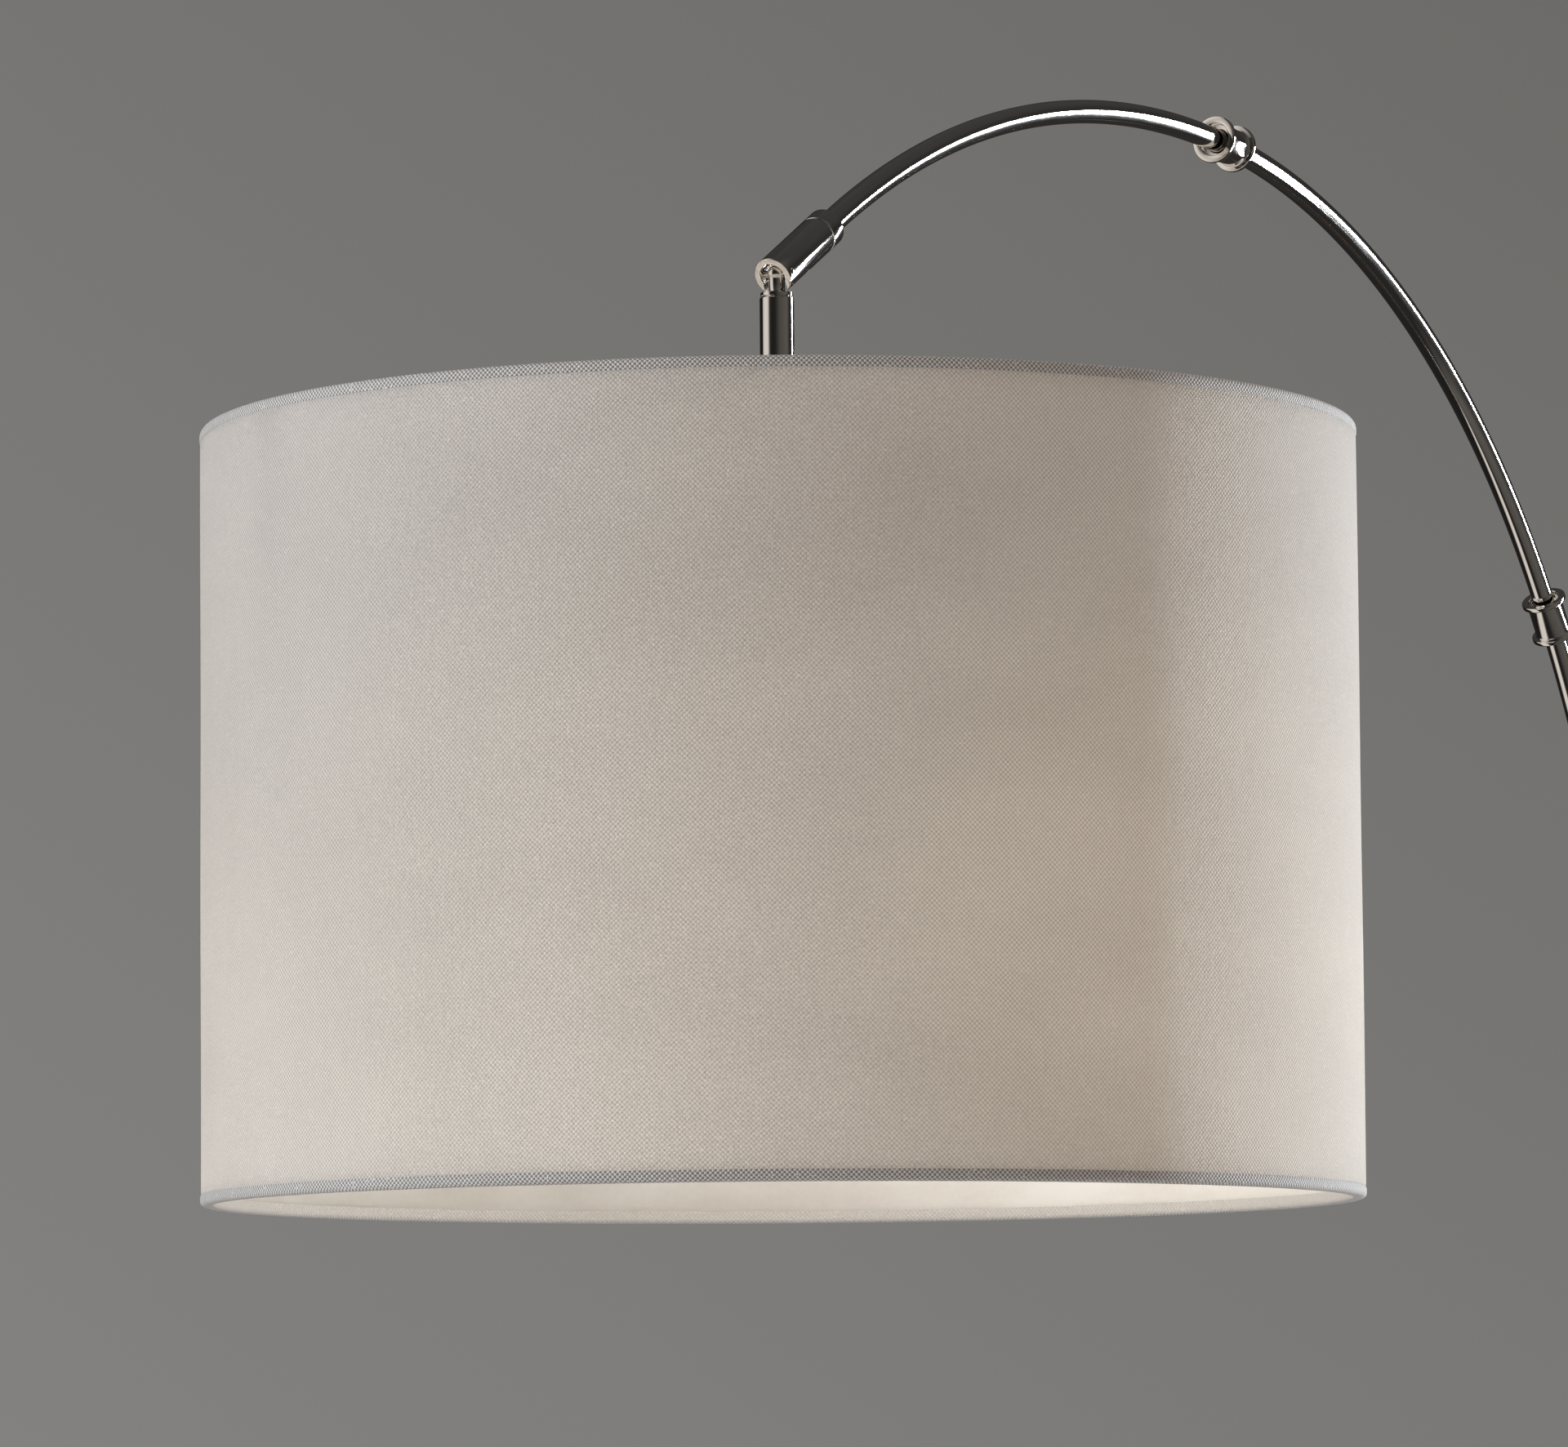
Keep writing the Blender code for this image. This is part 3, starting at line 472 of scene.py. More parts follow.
def turnedMesh(name, outline, sides=64, grain="turned", cloth=False, closed=True):
    bm = bmesh.new()
    layer = bm.verts.layers.float_vector.new("grain")
    uvLayer = bm.loops.layers.uv.new("cloth") if cloth else None
    run = [0.0]
    for a, b in zip(outline, outline[1:]):
        run.append(run[-1] + (Vector(b) - Vector(a)).length)
    rings = []
    for (radius, height), travelled in zip(outline, run):
        ring = []
        for side in range(1 if radius < 1e-9 else sides):
            angle = 2 * math.pi * side / sides
            c, s = math.cos(angle), math.sin(angle)
            vert = bm.verts.new((radius * c, radius * s, height))
            if grain == "drawn":
                lines = Vector((radius * c / grainFine, radius * s / grainFine, height / grainLong))
            else:
                across, upward = radius * c / grainLong, radius * s / grainLong
                lines = Vector((travelled / grainFine, across, upward))
            vert[layer] = lines
            ring.append(vert)
        rings.append(ring)
    pairs = list(zip(range(len(rings)), range(1, len(rings))))
    if closed:
        pairs.append((len(rings) - 1, 0))
    widest = max(radius for radius, height in outline)
    for low, high in pairs:
        for side in range(sides):
            corners = [(low, side), (low, side + 1), (high, side + 1), (high, side)]
            loopVerts, loopUvs = [], []
            for row, column in corners:
                vert = rings[row][column % len(rings[row])]
                if vert not in loopVerts:
                    loopVerts.append(vert)
                    wraps = closed and row == 0 and high == 0
                    travelled = run[-1] + 0.001 if wraps else run[row]
                    loopUvs.append((2 * math.pi * column / sides * widest, travelled))
            if len(loopVerts) < 3:
                continue
            face = bm.faces.new(loopVerts)
            if uvLayer:
                for loop, uv in zip(face.loops, loopUvs):
                    loop[uvLayer].uv = uv
    bmesh.ops.recalc_face_normals(bm, faces=bm.faces)
    mesh = bpy.data.meshes.new(name)
    bm.to_mesh(mesh)
    bm.free()
    mesh.shade_smooth()
    mesh.set_sharp_from_angle(angle=math.radians(38))
    return mesh


def addObject(name, mesh):
    obj = bpy.data.objects.new(name, mesh)
    bpy.context.scene.collection.objects.link(obj)
    return obj


def evaluatedMesh(obj):
    bpy.context.view_layer.update()
    graph = bpy.context.evaluated_depsgraph_get()
    mesh = bpy.data.meshes.new_from_object(obj.evaluated_get(graph))
    bpy.data.objects.remove(obj, do_unlink=True)
    return mesh


def cutAway(mesh, *cutters):
    obj = addObject("work", mesh)
    helpers = []
    for cutter in cutters:
        helper = addObject("cutter", cutter)
        helpers.append(helper)
        modifier = obj.modifiers.new("cut", "BOOLEAN")
        modifier.object = helper
        modifier.solver = "EXACT"
    made = evaluatedMesh(obj)
    for helper in helpers:
        bpy.data.objects.remove(helper, do_unlink=True)
    return made


def addPiece(name, mesh, material, body, replaced=(), matrix=None):
    if matrix is not None:
        mesh.transform(matrix)
    mesh.materials.clear()
    mesh.materials.append(material)
    obj = addObject(name, mesh)
    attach(obj, body)
    if replaced:
        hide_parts(*([replaced] if isinstance(replaced, str) else replaced))
    return obj


def runTree(obj, tree, values):
    modifier = obj.modifiers.new(tree.name, "NODES")
    modifier.node_group = tree
    for item in tree.interface.items_tree:
        if item.item_type == "SOCKET" and item.in_out == "INPUT" and item.name in values:
            modifier[item.identifier] = values[item.name]
    return evaluatedMesh(obj)


def newTree(name, inputs):
    tree = bpy.data.node_groups.new(name, "GeometryNodeTree")
    tree.interface.new_socket("Geometry", in_out="INPUT", socket_type="NodeSocketGeometry")
    for label, kind, value in inputs:
        socket = tree.interface.new_socket(label, in_out="INPUT", socket_type=kind)
        if value is not None:
            socket.default_value = value
    tree.interface.new_socket("Finish", in_out="INPUT", socket_type="NodeSocketMaterial")
    tree.interface.new_socket("Geometry", in_out="OUTPUT", socket_type="NodeSocketGeometry")
    start = tree.nodes.new("NodeGroupInput")
    return tree, start.outputs


def endTree(tree, geometry, finish):
    real = put(tree, "GeometryNodeRealizeInstances", {"Geometry": geometry})
    sockets = {"Geometry": real.outputs["Geometry"], "Material": finish}
    painted = put(tree, "GeometryNodeSetMaterial", sockets)
    put(tree, "NodeGroupOutput", {"Geometry": painted.outputs["Geometry"]})
    return tree


def makeBendTree():
    tree, given = newTree("bendTree", [
        ("Bend Radius", "NodeSocketFloat", 0.5),
        ("Straight Length", "NodeSocketFloat", 0.0),
    ])
    bend, straight = given["Bend Radius"], given["Straight Length"]
    position = put(tree, "GeometryNodeInputPosition").outputs[0]
    place = put(tree, "ShaderNodeSeparateXYZ", {"Vector": position}).outputs
    past = calc(tree, "MAXIMUM", calc(tree, "SUBTRACT", place["Z"], straight), 0.0)
    turn = calc(tree, "DIVIDE", past, bend)
    spoke = calc(tree, "SUBTRACT", bend, place["X"])
    x = calc(tree, "SUBTRACT", bend, calc(tree, "MULTIPLY", spoke, calc(tree, "COSINE", turn)))
    rise = calc(tree, "MULTIPLY", spoke, calc(tree, "SINE", turn))
    z = calc(tree, "ADD", calc(tree, "MINIMUM", place["Z"], straight), rise)
    moved = put(tree, "ShaderNodeCombineXYZ", {"X": x, "Y": place["Y"], "Z": z}).outputs["Vector"]
    sockets = {"Geometry": given["Geometry"], "Position": moved}
    shaped = put(tree, "GeometryNodeSetPosition", sockets)
    return endTree(tree, shaped.outputs["Geometry"], given["Finish"])


def makeRoundTree():
    tree, given = newTree("roundTree", [
        ("Count", "NodeSocketInt", 3),
        ("Radius", "NodeSocketFloat", 0.0),
        ("First Angle", "NodeSocketFloat", 0.0),
    ])
    sockets = {"Count": given["Count"], "Offset": (0, 0, 0)}
    line = put(tree, "GeometryNodeMeshLine", sockets, mode="OFFSET")
    step = calc(tree, "DIVIDE", 2 * math.pi, given["Count"])
    index = put(tree, "GeometryNodeInputIndex").outputs[0]
    angle = calc(tree, "ADD", calc(tree, "MULTIPLY", index, step), given["First Angle"])
    spot = put(tree, "ShaderNodeCombineXYZ", {
        "X": calc(tree, "MULTIPLY", calc(tree, "COSINE", angle), given["Radius"]),
        "Y": calc(tree, "MULTIPLY", calc(tree, "SINE", angle), given["Radius"]),
    })
    sockets = {"Geometry": line.outputs["Mesh"], "Position": spot.outputs["Vector"]}
    placed = put(tree, "GeometryNodeSetPosition", sockets)
    turnTo = put(tree, "ShaderNodeCombineXYZ", {"Z": angle})
    copies = put(tree, "GeometryNodeInstanceOnPoints", {
        "Points": placed.outputs["Geometry"],
        "Instance": given["Geometry"],
        "Rotation": turnTo.outputs["Vector"],
    })
    return endTree(tree, copies.outputs["Instances"], given["Finish"])


def makeThreadTree():
    tree, given = newTree("threadTree", [
        ("Turns", "NodeSocketFloat", 6.0),
        ("Radius", "NodeSocketFloat", 0.013),
        ("Height", "NodeSocketFloat", 0.02),
        ("Wire", "NodeSocketFloat", 0.0008),
    ])
    helix = put(tree, "GeometryNodeCurveSpiral", {
        "Resolution": 40,
        "Rotations": given["Turns"],
        "Start Radius": given["Radius"],
        "End Radius": given["Radius"],
        "Height": given["Height"],
    })
    ring = put(tree, "GeometryNodeCurvePrimitiveCircle", {"Resolution": 8, "Radius": given["Wire"]})
    wire = put(tree, "GeometryNodeCurveToMesh", {
        "Curve": helix.outputs["Curve"],
        "Profile Curve": ring.outputs["Curve"],
        "Fill Caps": True,
    })
    joined = put(tree, "GeometryNodeJoinGeometry")
    tree.links.new(wire.outputs["Mesh"], joined.inputs["Geometry"])
    tree.links.new(given["Geometry"], joined.inputs["Geometry"])
    return endTree(tree, joined.outputs["Geometry"], given["Finish"])


bendTree = makeBendTree()
roundTree = makeRoundTree()
threadTree = makeThreadTree()

# The arm leaves the knuckle rising, then each of its three tubes bends it over
arm = {
    "rise": math.radians(31.7),
    "sleeve": 0.0484,
    "bends": [(0.3425, 0.529), (0.3670, 0.418)],
    "lastBend": 0.600,
}
turnedSoFar = sum(run / bend for run, bend in arm["bends"])
lastRun = (arm["rise"] + math.pi / 2 - turnedSoFar) * arm["lastBend"]
armRuns = [(arm["sleeve"], None), *arm["bends"], (lastRun, arm["lastBend"])]


def alongArm(distance):
    reach, rise, heading = 0.0, 0.0, arm["rise"]
    for run, bend in armRuns:
        step = min(distance, run)
        if bend is None:
            reach += step * math.cos(heading)
            rise += step * math.sin(heading)
        else:
            turn = step / bend
            reach += bend * (math.sin(heading) - math.sin(heading - turn))
            rise += bend * (math.cos(heading - turn) - math.cos(heading))
            heading -= turn
        distance -= step
        if distance <= 0:
            break
    spot = pivot + Vector((reach, 0, rise))
    return Matrix.Translation(spot) @ Matrix.Rotation(math.pi / 2 - heading, 4, "Y")


tubes = {
    "armRadius": 0.0050,
    "armBore": 0.0039,
    "poleRadius": 0.00675,
    "poleBore": 0.00545,
    "edge": 0.0003,
    "couplerGap": 0.0018,  # half the web between two tubes, and a clearance
    "armStart": 0.0303,
}
clear = 0.0003  # between pieces that touch in the real lamp


def rodOutline(radius, low, high):
    return [(0, low), (radius, low), (radius, high), (0, high)]



def tubeOutline(outer, inner, low, high, steps, edge):
    heights = [low + (high - low) * step / steps for step in range(steps + 1)]
    outline = [(outer, z) for z in heights]
    outline[0] = (outer, low + edge)
    outline[-1] = (outer, high - edge)
    outline += [(outer - edge, high), (inner, high)]
    outline += [(inner, z) for z in reversed(heights[1:-1])]
    return [*outline, (inner, low), (outer - edge, low)]


def bentTube(level, start, straight, end, bend):
    length = end - start
    outline = tubeOutline(tubes["armRadius"], tubes["armBore"], 0, length, 96, tubes["edge"])
    mesh = turnedMesh("arcTube" + level, outline, 40, "drawn")
    values = {"Bend Radius": bend, "Straight Length": straight, "Finish": nickel}
    mesh = runTree(addObject("work", mesh), bendTree, values)
    node = "arc_tube_" + level.lower()
    return addPiece("arcTube" + level, mesh, nickel, "stand", node, alongArm(start))


gap = tubes["couplerGap"]
(upperRun, upperBend), (middleRun, middleBend) = arm["bends"]
upperEnd = arm["sleeve"] + upperRun
middleEnd = upperEnd + middleRun
straightPart = arm["sleeve"] - tubes["armStart"]
bentTube("Upper", tubes["armStart"], straightPart, upperEnd - gap, upperBend)
bentTube("Middle", upperEnd + gap, 0, middleEnd - gap, middleBend)
bentTube("Lower", middleEnd + gap, 0, middleEnd + lastRun - gap, arm["lastBend"])

coupler = {
    "half": 0.0100,
    "lip": 0.0022,
    "flange": 0.0053,
    "waist": 0.0031,
    "recess": 0.0023,
    "recessDepth": 0.004,
    "web": 0.0015,
    "rounding": 0.0005,
    "poleBore": 0.0052,
}


def couplerMesh(name, above, below, bore):
    c = coupler
    wide = max(above, below)
    half, inner = c["half"], c["half"] - c["lip"]
    outline = [
        (below + c["recess"], -half),
        (wide + c["flange"], -half),
        (wide + c["flange"], -inner),
        (wide + c["waist"], -inner),
        (wide + c["waist"], inner),
        (wide + c["flange"], inner),
        (wide + c["flange"], half),
        (above + c["recess"], half),
        (above + c["recess"], half - c["recessDepth"]),
        (above + clear, half - c["recessDepth"]),
        (above + clear, c["web"]),
        (bore, c["web"]),
        (bore, -c["web"]),
        (below + clear, -c["web"]),
        (below + clear, c["recessDepth"] - half),
        (below + c["recess"], c["recessDepth"] - half),
    ]
    return turnedMesh(name, softened(outline, c["rounding"]), 64)


def addCoupler(place, level, above, below, bore, at):
    name, node = f"{place}Coupler{level}", f"{place}_coupler_{level.lower()}"
    addPiece(name, couplerMesh(name, above, below, bore), turnedNickel, "stand", node, at)


slim, stout = tubes["armRadius"], tubes["poleRadius"]
for level, distance in (("Upper", upperEnd), ("Lower", middleEnd)):
    addCoupler("arc", level, slim, slim, tubes["armBore"], alongArm(distance))

armLength = sum(run for run, bend in armRuns)
poleTop = alongArm(armLength).translation.z
section = (poleTop - poleFoot) / 3
atPole = Matrix.Translation((poleX, 0, 0))
for number, level in enumerate(("Lower", "Middle", "Upper")):
    low = poleFoot + number * section + (gap if number else 0)
    high = poleFoot + (number + 1) * section - gap
    outline = tubeOutline(stout, tubes["poleBore"], low, high, 12, tubes["edge"])
    mesh = turnedMesh("poleTube" + level, outline, 56, "drawn")
    node = "pole_tube_" + level.lower()
    addPiece("poleTube" + level, mesh, nickel, "stand", node, atPole)
for number, level in enumerate(("Lower", "Middle", "Top"), 1):
    above, bore = (slim, tubes["armBore"]) if level == "Top" else (stout, coupler["poleBore"])
    at = Matrix.Translation((poleX, 0, poleFoot + number * section))
    addCoupler("pole", level, above, stout, bore, at)
print("pole and arm made")

base = {
    "radius": 0.1524,
    "padHeight": 0.003,
    "padInset": 0.0045,
    "wall": 0.0012,
    "top": 0.030,
    "lip": 0.0016,
    "rounding": 0.008,
    "lipEdge": 0.0003,
    "studHole": 0.0062,
    "glandHole": 0.0048,
    "glandHeight": 0.0085,
}


def makeBase():
    b = base
    pad = rodOutline(b["radius"] - b["padInset"], 0, b["padHeight"])
    mesh = turnedMesh("basePad", softened(pad, 0.0006, closed=False), 128, closed=False)
    addPiece("basePad", mesh, footFoam, "stand", "base_pad")
    steps = 14
    arc = [math.pi / 2 * step / steps for step in range(steps + 1)]
    bendZ, bendR = b["top"] - b["rounding"], b["radius"] - b["rounding"]
    inner, edge = b["radius"] - b["wall"], b["lipEdge"]
    innerBend = b["rounding"] - b["wall"]
    tops = [b["radius"] * share for share in (0.9, 0.7, 0.5, 0.3, 0.12)]

    def bent(radius, angle):
        return bendR + radius * math.cos(angle), bendZ + radius * math.sin(angle)

    outline = [(0, b["top"] - b["wall"])]
    outline += [bent(innerBend, a) for a in reversed(arc)]
    outline += [(inner, b["lip"] + edge), (inner + edge, b["lip"])]
    outline += [(b["radius"] - edge, b["lip"]), (b["radius"], b["lip"] + edge)]
    outline += [bent(b["rounding"], a) for a in arc]
    outline += [(radius, b["top"]) for radius in tops]
    outline.append((0, b["top"]))
    cover = turnedMesh("baseCover", outline, 180, closed=False)
    stud = turnedMesh("cut", rodOutline(b["studHole"], 0.02, 0.04), 32, closed=False)
    stud.transform(Matrix.Translation((poleX, 0, 0)))
    hole = turnedMesh("cut", rodOutline(b["glandHole"], -0.006, 0.006), 32, closed=False)
    rim = Matrix.Translation((b["radius"], 0, b["glandHeight"]))
    outward = rim @ Matrix.Rotation(math.pi / 2, 4, "Y")
    hole.transform(outward)
    addPiece("baseCover", cutAway(cover, stud, hole), coverNickel, "stand", "base_cover")

    foot = b["top"] + clear
    tall = foot + 0.0225
    tube = tubes["poleRadius"]
    seat = poleFoot - clear
    outline = [
        (0.0054, foot),
        (0.0200, foot),
        (0.0200, foot + 0.0025),
        (0.0182, foot + 0.0036),
        (tube + 0.0060, foot + 0.0052),
        (tube + 0.0035, foot + 0.0078),
        (tube + 0.0035, tall - coupler["lip"]),
        (tube + 0.0054, tall - coupler["lip"]),
        (tube + 0.0054, tall),
        (tube + 0.0024, tall),
        (tube + 0.0024, tall - 0.004),
        (tube + clear, tall - 0.004),
        (tube + clear, seat),
        (0.0054, seat),
    ]
    mesh = turnedMesh("poleSocket", softened(outline, 0.0006), 72)
    addPiece("poleSocket", mesh, turnedNickel, "stand", "pole_socket", atPole)

    outline = [
        (0.0026, -0.009),
        (0.0045, -0.009),
        (0.0045, 0.0003),
        (0.0065, 0.0003),
        (0.0065, 0.0018),
        (0.0052, 0.0030),
        (0.0046, 0.0040),
        (0.0026, 0.0040),
    ]
    gland = turnedMesh("cordGland", softened(outline, 0.0004), 40)
    addPiece("cordGland", gland, blackMoulding, "stand", "cord_gland", outward)


makeBase()
print("base made")

knuckle = {
    "radius": 0.0080,
    "bore": 0.0055,
    "start": -0.0037,
    "webStart": 0.0275,
    "webEnd": 0.0300,
    "end": 0.0355,
    "ferruleEnd": 0.0455,
    "slotWidth": 0.0105,
    "slotEnd": 0.0165,
    "pin": 0.0015,
    "head": 0.0039,
    "neck": 0.0033,
    "collar": 0.00655,
    "collarTop": -0.0078,
    "collarBottom": -0.0095,
    "pinHalf": 0.0078,
    "spigot": 0.0053,
    "stem": 0.00685,
    "stemBore": 0.0056,
    "stemFoot": -0.0480,
}


def blockMesh(low, high):
    bm = bmesh.new()
    bmesh.ops.create_cube(bm, size=1)
    for vert in bm.verts:
        vert.co = [b if co > 0 else a for co, a, b in zip(vert.co, low, high)]
    bm.verts.layers.float_vector.new("grain")
    mesh = bpy.data.meshes.new("block")
    bm.to_mesh(mesh)
    bm.free()
    return mesh


def rodMesh(radius, low, high, sides=40):
    return turnedMesh("rod", rodOutline(radius, low, high), sides, "drawn", closed=False)


def makeKnuckle():
    k = knuckle
    tube = tubes["armRadius"] + clear
    outline = [
        (k["bore"], k["start"]),
        (k["radius"], k["start"]),
        (k["radius"], k["end"]),
        (tube, k["end"]),
        (tube, k["webEnd"]),
        (tubes["armBore"], k["webEnd"]),
        (tubes["armBore"], k["webStart"]),
        (k["bore"], k["webStart"]),
    ]
    fork = turnedMesh("knuckleFork", softened(outline, 0.00035), 96, "drawn")
    half = k["slotWidth"] / 2
    slot = blockMesh((0, -half, -0.02), (0.02, half, k["slotEnd"]))
    pinCut = rodMesh(k["pin"] + 0.0001, -0.02, 0.02)
    toArm = alongArm(0)
    across = Matrix.Translation(pivot) @ Matrix.Rotation(math.pi / 2, 4, "X")
    pinCut.transform(toArm.inverted() @ across)
    fork = cutAway(fork, slot, pinCut)
    fork.set_sharp_from_angle(angle=math.radians(38))
    addPiece("knuckleFork", fork, nickel, "stand", "knuckle_fork", toArm)
    outline = softened(rodOutline(k["pin"], -k["pinHalf"], k["pinHalf"]), 0.0003, closed=False)
    pin = turnedMesh("knucklePin", outline, 32, closed=False)
    addPiece("knucklePin", pin, turnedNickel, "stand", "knuckle_pin", across)
    chamfer = 0.0012
    outline = [
        (tube, k["end"] + clear),
        (k["radius"], k["end"] + clear),
        (k["radius"], k["ferruleEnd"] - chamfer),
        (k["radius"] - chamfer, k["ferruleEnd"]),
        (tube, k["ferruleEnd"]),
    ]
    mesh = turnedMesh("knuckleFerrule", softened(outline, 0.0005), 96, "drawn")
    addPiece("knuckleFerrule", mesh, nickel, "stand", "knuckle_ferrule", toArm)

    ball = [math.radians(90 - 6 * step) for step in range(21)]
    outline = [(max(0.0, k["head"] * math.cos(a)), k["head"] * math.sin(a)) for a in ball]
    outline[0] = (0, k["head"])
    edge = 0.0003
    lower = [
        (k["neck"], outline[-1][1] - 0.0009),
        (k["neck"], k["collarTop"] + 0.0004),
        (k["neck"] + edge, k["collarTop"]),
        (k["collar"] - edge, k["collarTop"]),
        (k["collar"], k["collarTop"] - edge),
        (k["collar"], k["collarBottom"] + edge),
        (k["collar"] - edge, k["collarBottom"]),
        (k["spigot"], k["collarBottom"]),
        (k["spigot"], k["collarBottom"] - 0.009),
        (0, k["collarBottom"] - 0.009),
    ]
    tongue = turnedMesh("knuckleTongue", outline + lower, 72, closed=False)
    pinCut = rodMesh(k["pin"] + 0.0002, -0.02, 0.02)
    pinCut.transform(Matrix.Rotation(math.pi / 2, 4, "X"))
    tongue = cutAway(tongue, pinCut, rodMesh(0.0022, k["collarBottom"] - 0.02, -0.003))
    tongue.set_sharp_from_angle(angle=math.radians(38))
    at = Matrix.Translation(pivot)
    addPiece("knuckleTongue", tongue, turnedNickel, "shade", "knuckle_tongue", at)

    stemTop = pivot.z + k["collarBottom"] - clear - shadeTop
    outline = tubeOutline(k["stem"], k["stemBore"], k["stemFoot"], stemTop, 10, 0.0004)
    mesh = turnedMesh("stemTube", outline, 64, "drawn")
    addPiece("stemTube", mesh, nickel, "shade", "stem_tube", atShadeTop)


makeKnuckle()
print("knuckle made")

shade = {
    "around": 288,
    "rows": 30,
    "clothIn": 0.0001,
    "clothUnderHem": 0.00095,
    "liner": 0.0019,
    "hemDepth": 0.0042,
    "hemInside": 0.0050,
    "hemWidth": 0.0060,
    "hemSkin": 0.0005,
    "hemRounding": 0.0020,
    "overlap": 0.012,
    "seamAngle": math.radians(112),
}


def wallMesh(name, radiusAt, low, high, start, sweep, columns, rows):
    bm = bmesh.new()
    uvLayer = bm.loops.layers.uv.new("cloth")
    grid = []
    for row in range(rows + 1):
        z = low + (high - low) * row / rows
        grid.append([])
        for column in range(columns + 1):
            angle = start + sweep * column / columns
            radius = radiusAt(sweep * column / columns, z)
            grid[row].append(bm.verts.new((radius * math.cos(angle), radius * math.sin(angle), z)))
    for row in range(rows):
        for column in range(columns):
            face = bm.faces.new([
                grid[row][column],
                grid[row][column + 1],
                grid[row + 1][column + 1],
                grid[row + 1][column],
            ])
            spots = [(column, row), (column + 1, row), (column + 1, row + 1), (column, row + 1)]
            for loop, (i, j) in zip(face.loops, spots):
                u = (start + sweep * i / columns) * shadeRadius
                loop[uvLayer].uv = (u, low + (high - low) * j / rows)
    mesh = bpy.data.meshes.new(name)
    bm.to_mesh(mesh)
    bm.free()
    mesh.shade_smooth()
    return mesh


def smoothStep(t):
    t = min(1.0, max(0.0, t))
    return t * t * (3 - 2 * t)


# Each trim folds round the rim in a thin skin: the dark tape outside, and its pale tuck inside
def trimOutlines():
    s = shade
    outer, inner = shadeRadius, shadeRadius - s["hemWidth"]
    skin, fold, tall = s["hemSkin"], s["hemRounding"], s["hemDepth"]
    tight = fold - skin
    quarter = [math.pi / 2 * step / 6 for step in range(7)]
    outerArc = [(outer - fold + fold * math.cos(a), fold - fold * math.sin(a)) for a in quarter]
    innerArc = [(inner + fold - fold * math.sin(a), fold - fold * math.cos(a)) for a in quarter]
    outerTight = [(outer - fold + tight * math.sin(a), fold - tight * math.cos(a)) for a in quarter]
    innerTight = [(inner + fold - tight * math.cos(a), fold - tight * math.sin(a)) for a in quarter]
    hem = [(outer - 0.00045, tall + 0.0003), (outer - 0.0002, tall), (outer, tall - 0.0006)]
    hem += outerArc + innerArc[:3] + innerTight[4:] + outerTight + [(outer - skin, tall - 0.0002)]
    tuck = [*innerArc[2:], (inner, s["hemInside"]), (inner + skin, s["hemInside"]), *innerTight[:5]]
    return hem, tuck


def makeShade():
    s = shade
    tall = shadeTop - shadeFoot
    overlapTurn = s["overlap"] / shadeRadius
    sweep = 2 * math.pi + overlapTurn

    def clothRadius(turned, z):
        fromRim = min(z, tall - z)
        tuck = 1 - smoothStep((fromRim - s["hemDepth"] + 0.0006) / 0.0022)
        lap = smoothStep((turned - 2 * math.pi + 0.02) / 0.02) * 0.0006
        wave = 0.00010 * math.sin(7 * turned + 3) + 0.00008 * math.sin(13 * turned + 40 * z)
        inset = s["clothIn"] + tuck * (s["clothUnderHem"] - s["clothIn"])
        return shadeRadius - inset + (wave - 0.0001 + lap * 0.5) * (1 - tuck)

    low = s["hemSkin"] + 0.0004
    high, around = tall - low, s["around"]
    mesh = wallMesh("shadeFabric", clothRadius, low, high, s["seamAngle"], sweep, around + 4, 60)
    cloth = addPiece("shadeFabric", mesh, shadeCloth, "shade", "shade_fabric", atShadeFoot)

    def linerRadius(turned, z):
        return shadeRadius - s["liner"]

    start = s["seamAngle"] + 1.0
    mesh = wallMesh("shadeLiner", linerRadius, low, high, start, 2 * math.pi, around, 12)
    bm = bmesh.new()
    bm.from_mesh(mesh)
    bmesh.ops.remove_doubles(bm, verts=bm.verts, dist=1e-6)
    bmesh.ops.reverse_faces(bm, faces=bm.faces)
    bm.to_mesh(mesh)
    bm.free()
    addPiece("shadeLiner", mesh, styrene, "shade", "shade_liner", atShadeFoot)

    for side, flip in (("Bottom", False), ("Top", True)):
        hemPath, tuckPath = trimOutlines()
        if flip:
            hemPath, tuckPath = ([(r, tall - z) for r, z in path] for path in (hemPath, tuckPath))
        node = "shade_hem_" + side.lower()
        folds = (("hem", hemPath, hemCloth, node), ("tuck", tuckPath, tuckCloth, ()))
        for name, path, finish, replaced in folds:
            mesh = turnedMesh(name, path, 288, cloth=True)
            trim = addPiece(name + side, mesh, finish, "shade", replaced, atShadeFoot)


spider = {
    "wire": 0.0012,
    "inset": 0.00385,
    "wireIn": 0.0020,
    "hubTop": 0.0848,
    "hubBottom": 0.0866,
    "hubRadius": 0.023,
    "hubBore": 0.0171,
}


def smoothPoints(corners, steps):
    padded = [corners[0], *corners, corners[-1]]
    found = []
    for a, b, c, d in zip(padded, padded[1:], padded[2:], padded[3:]):
        for step in range(steps):
            t = step / steps
            cubic = (2 * a - 5 * b + 4 * c - d) * t**2 + (3 * b - a - 3 * c + d) * t**3
            found.append(0.5 * (2 * b + (c - a) * t + cubic))
    return [*found, corners[-1]]


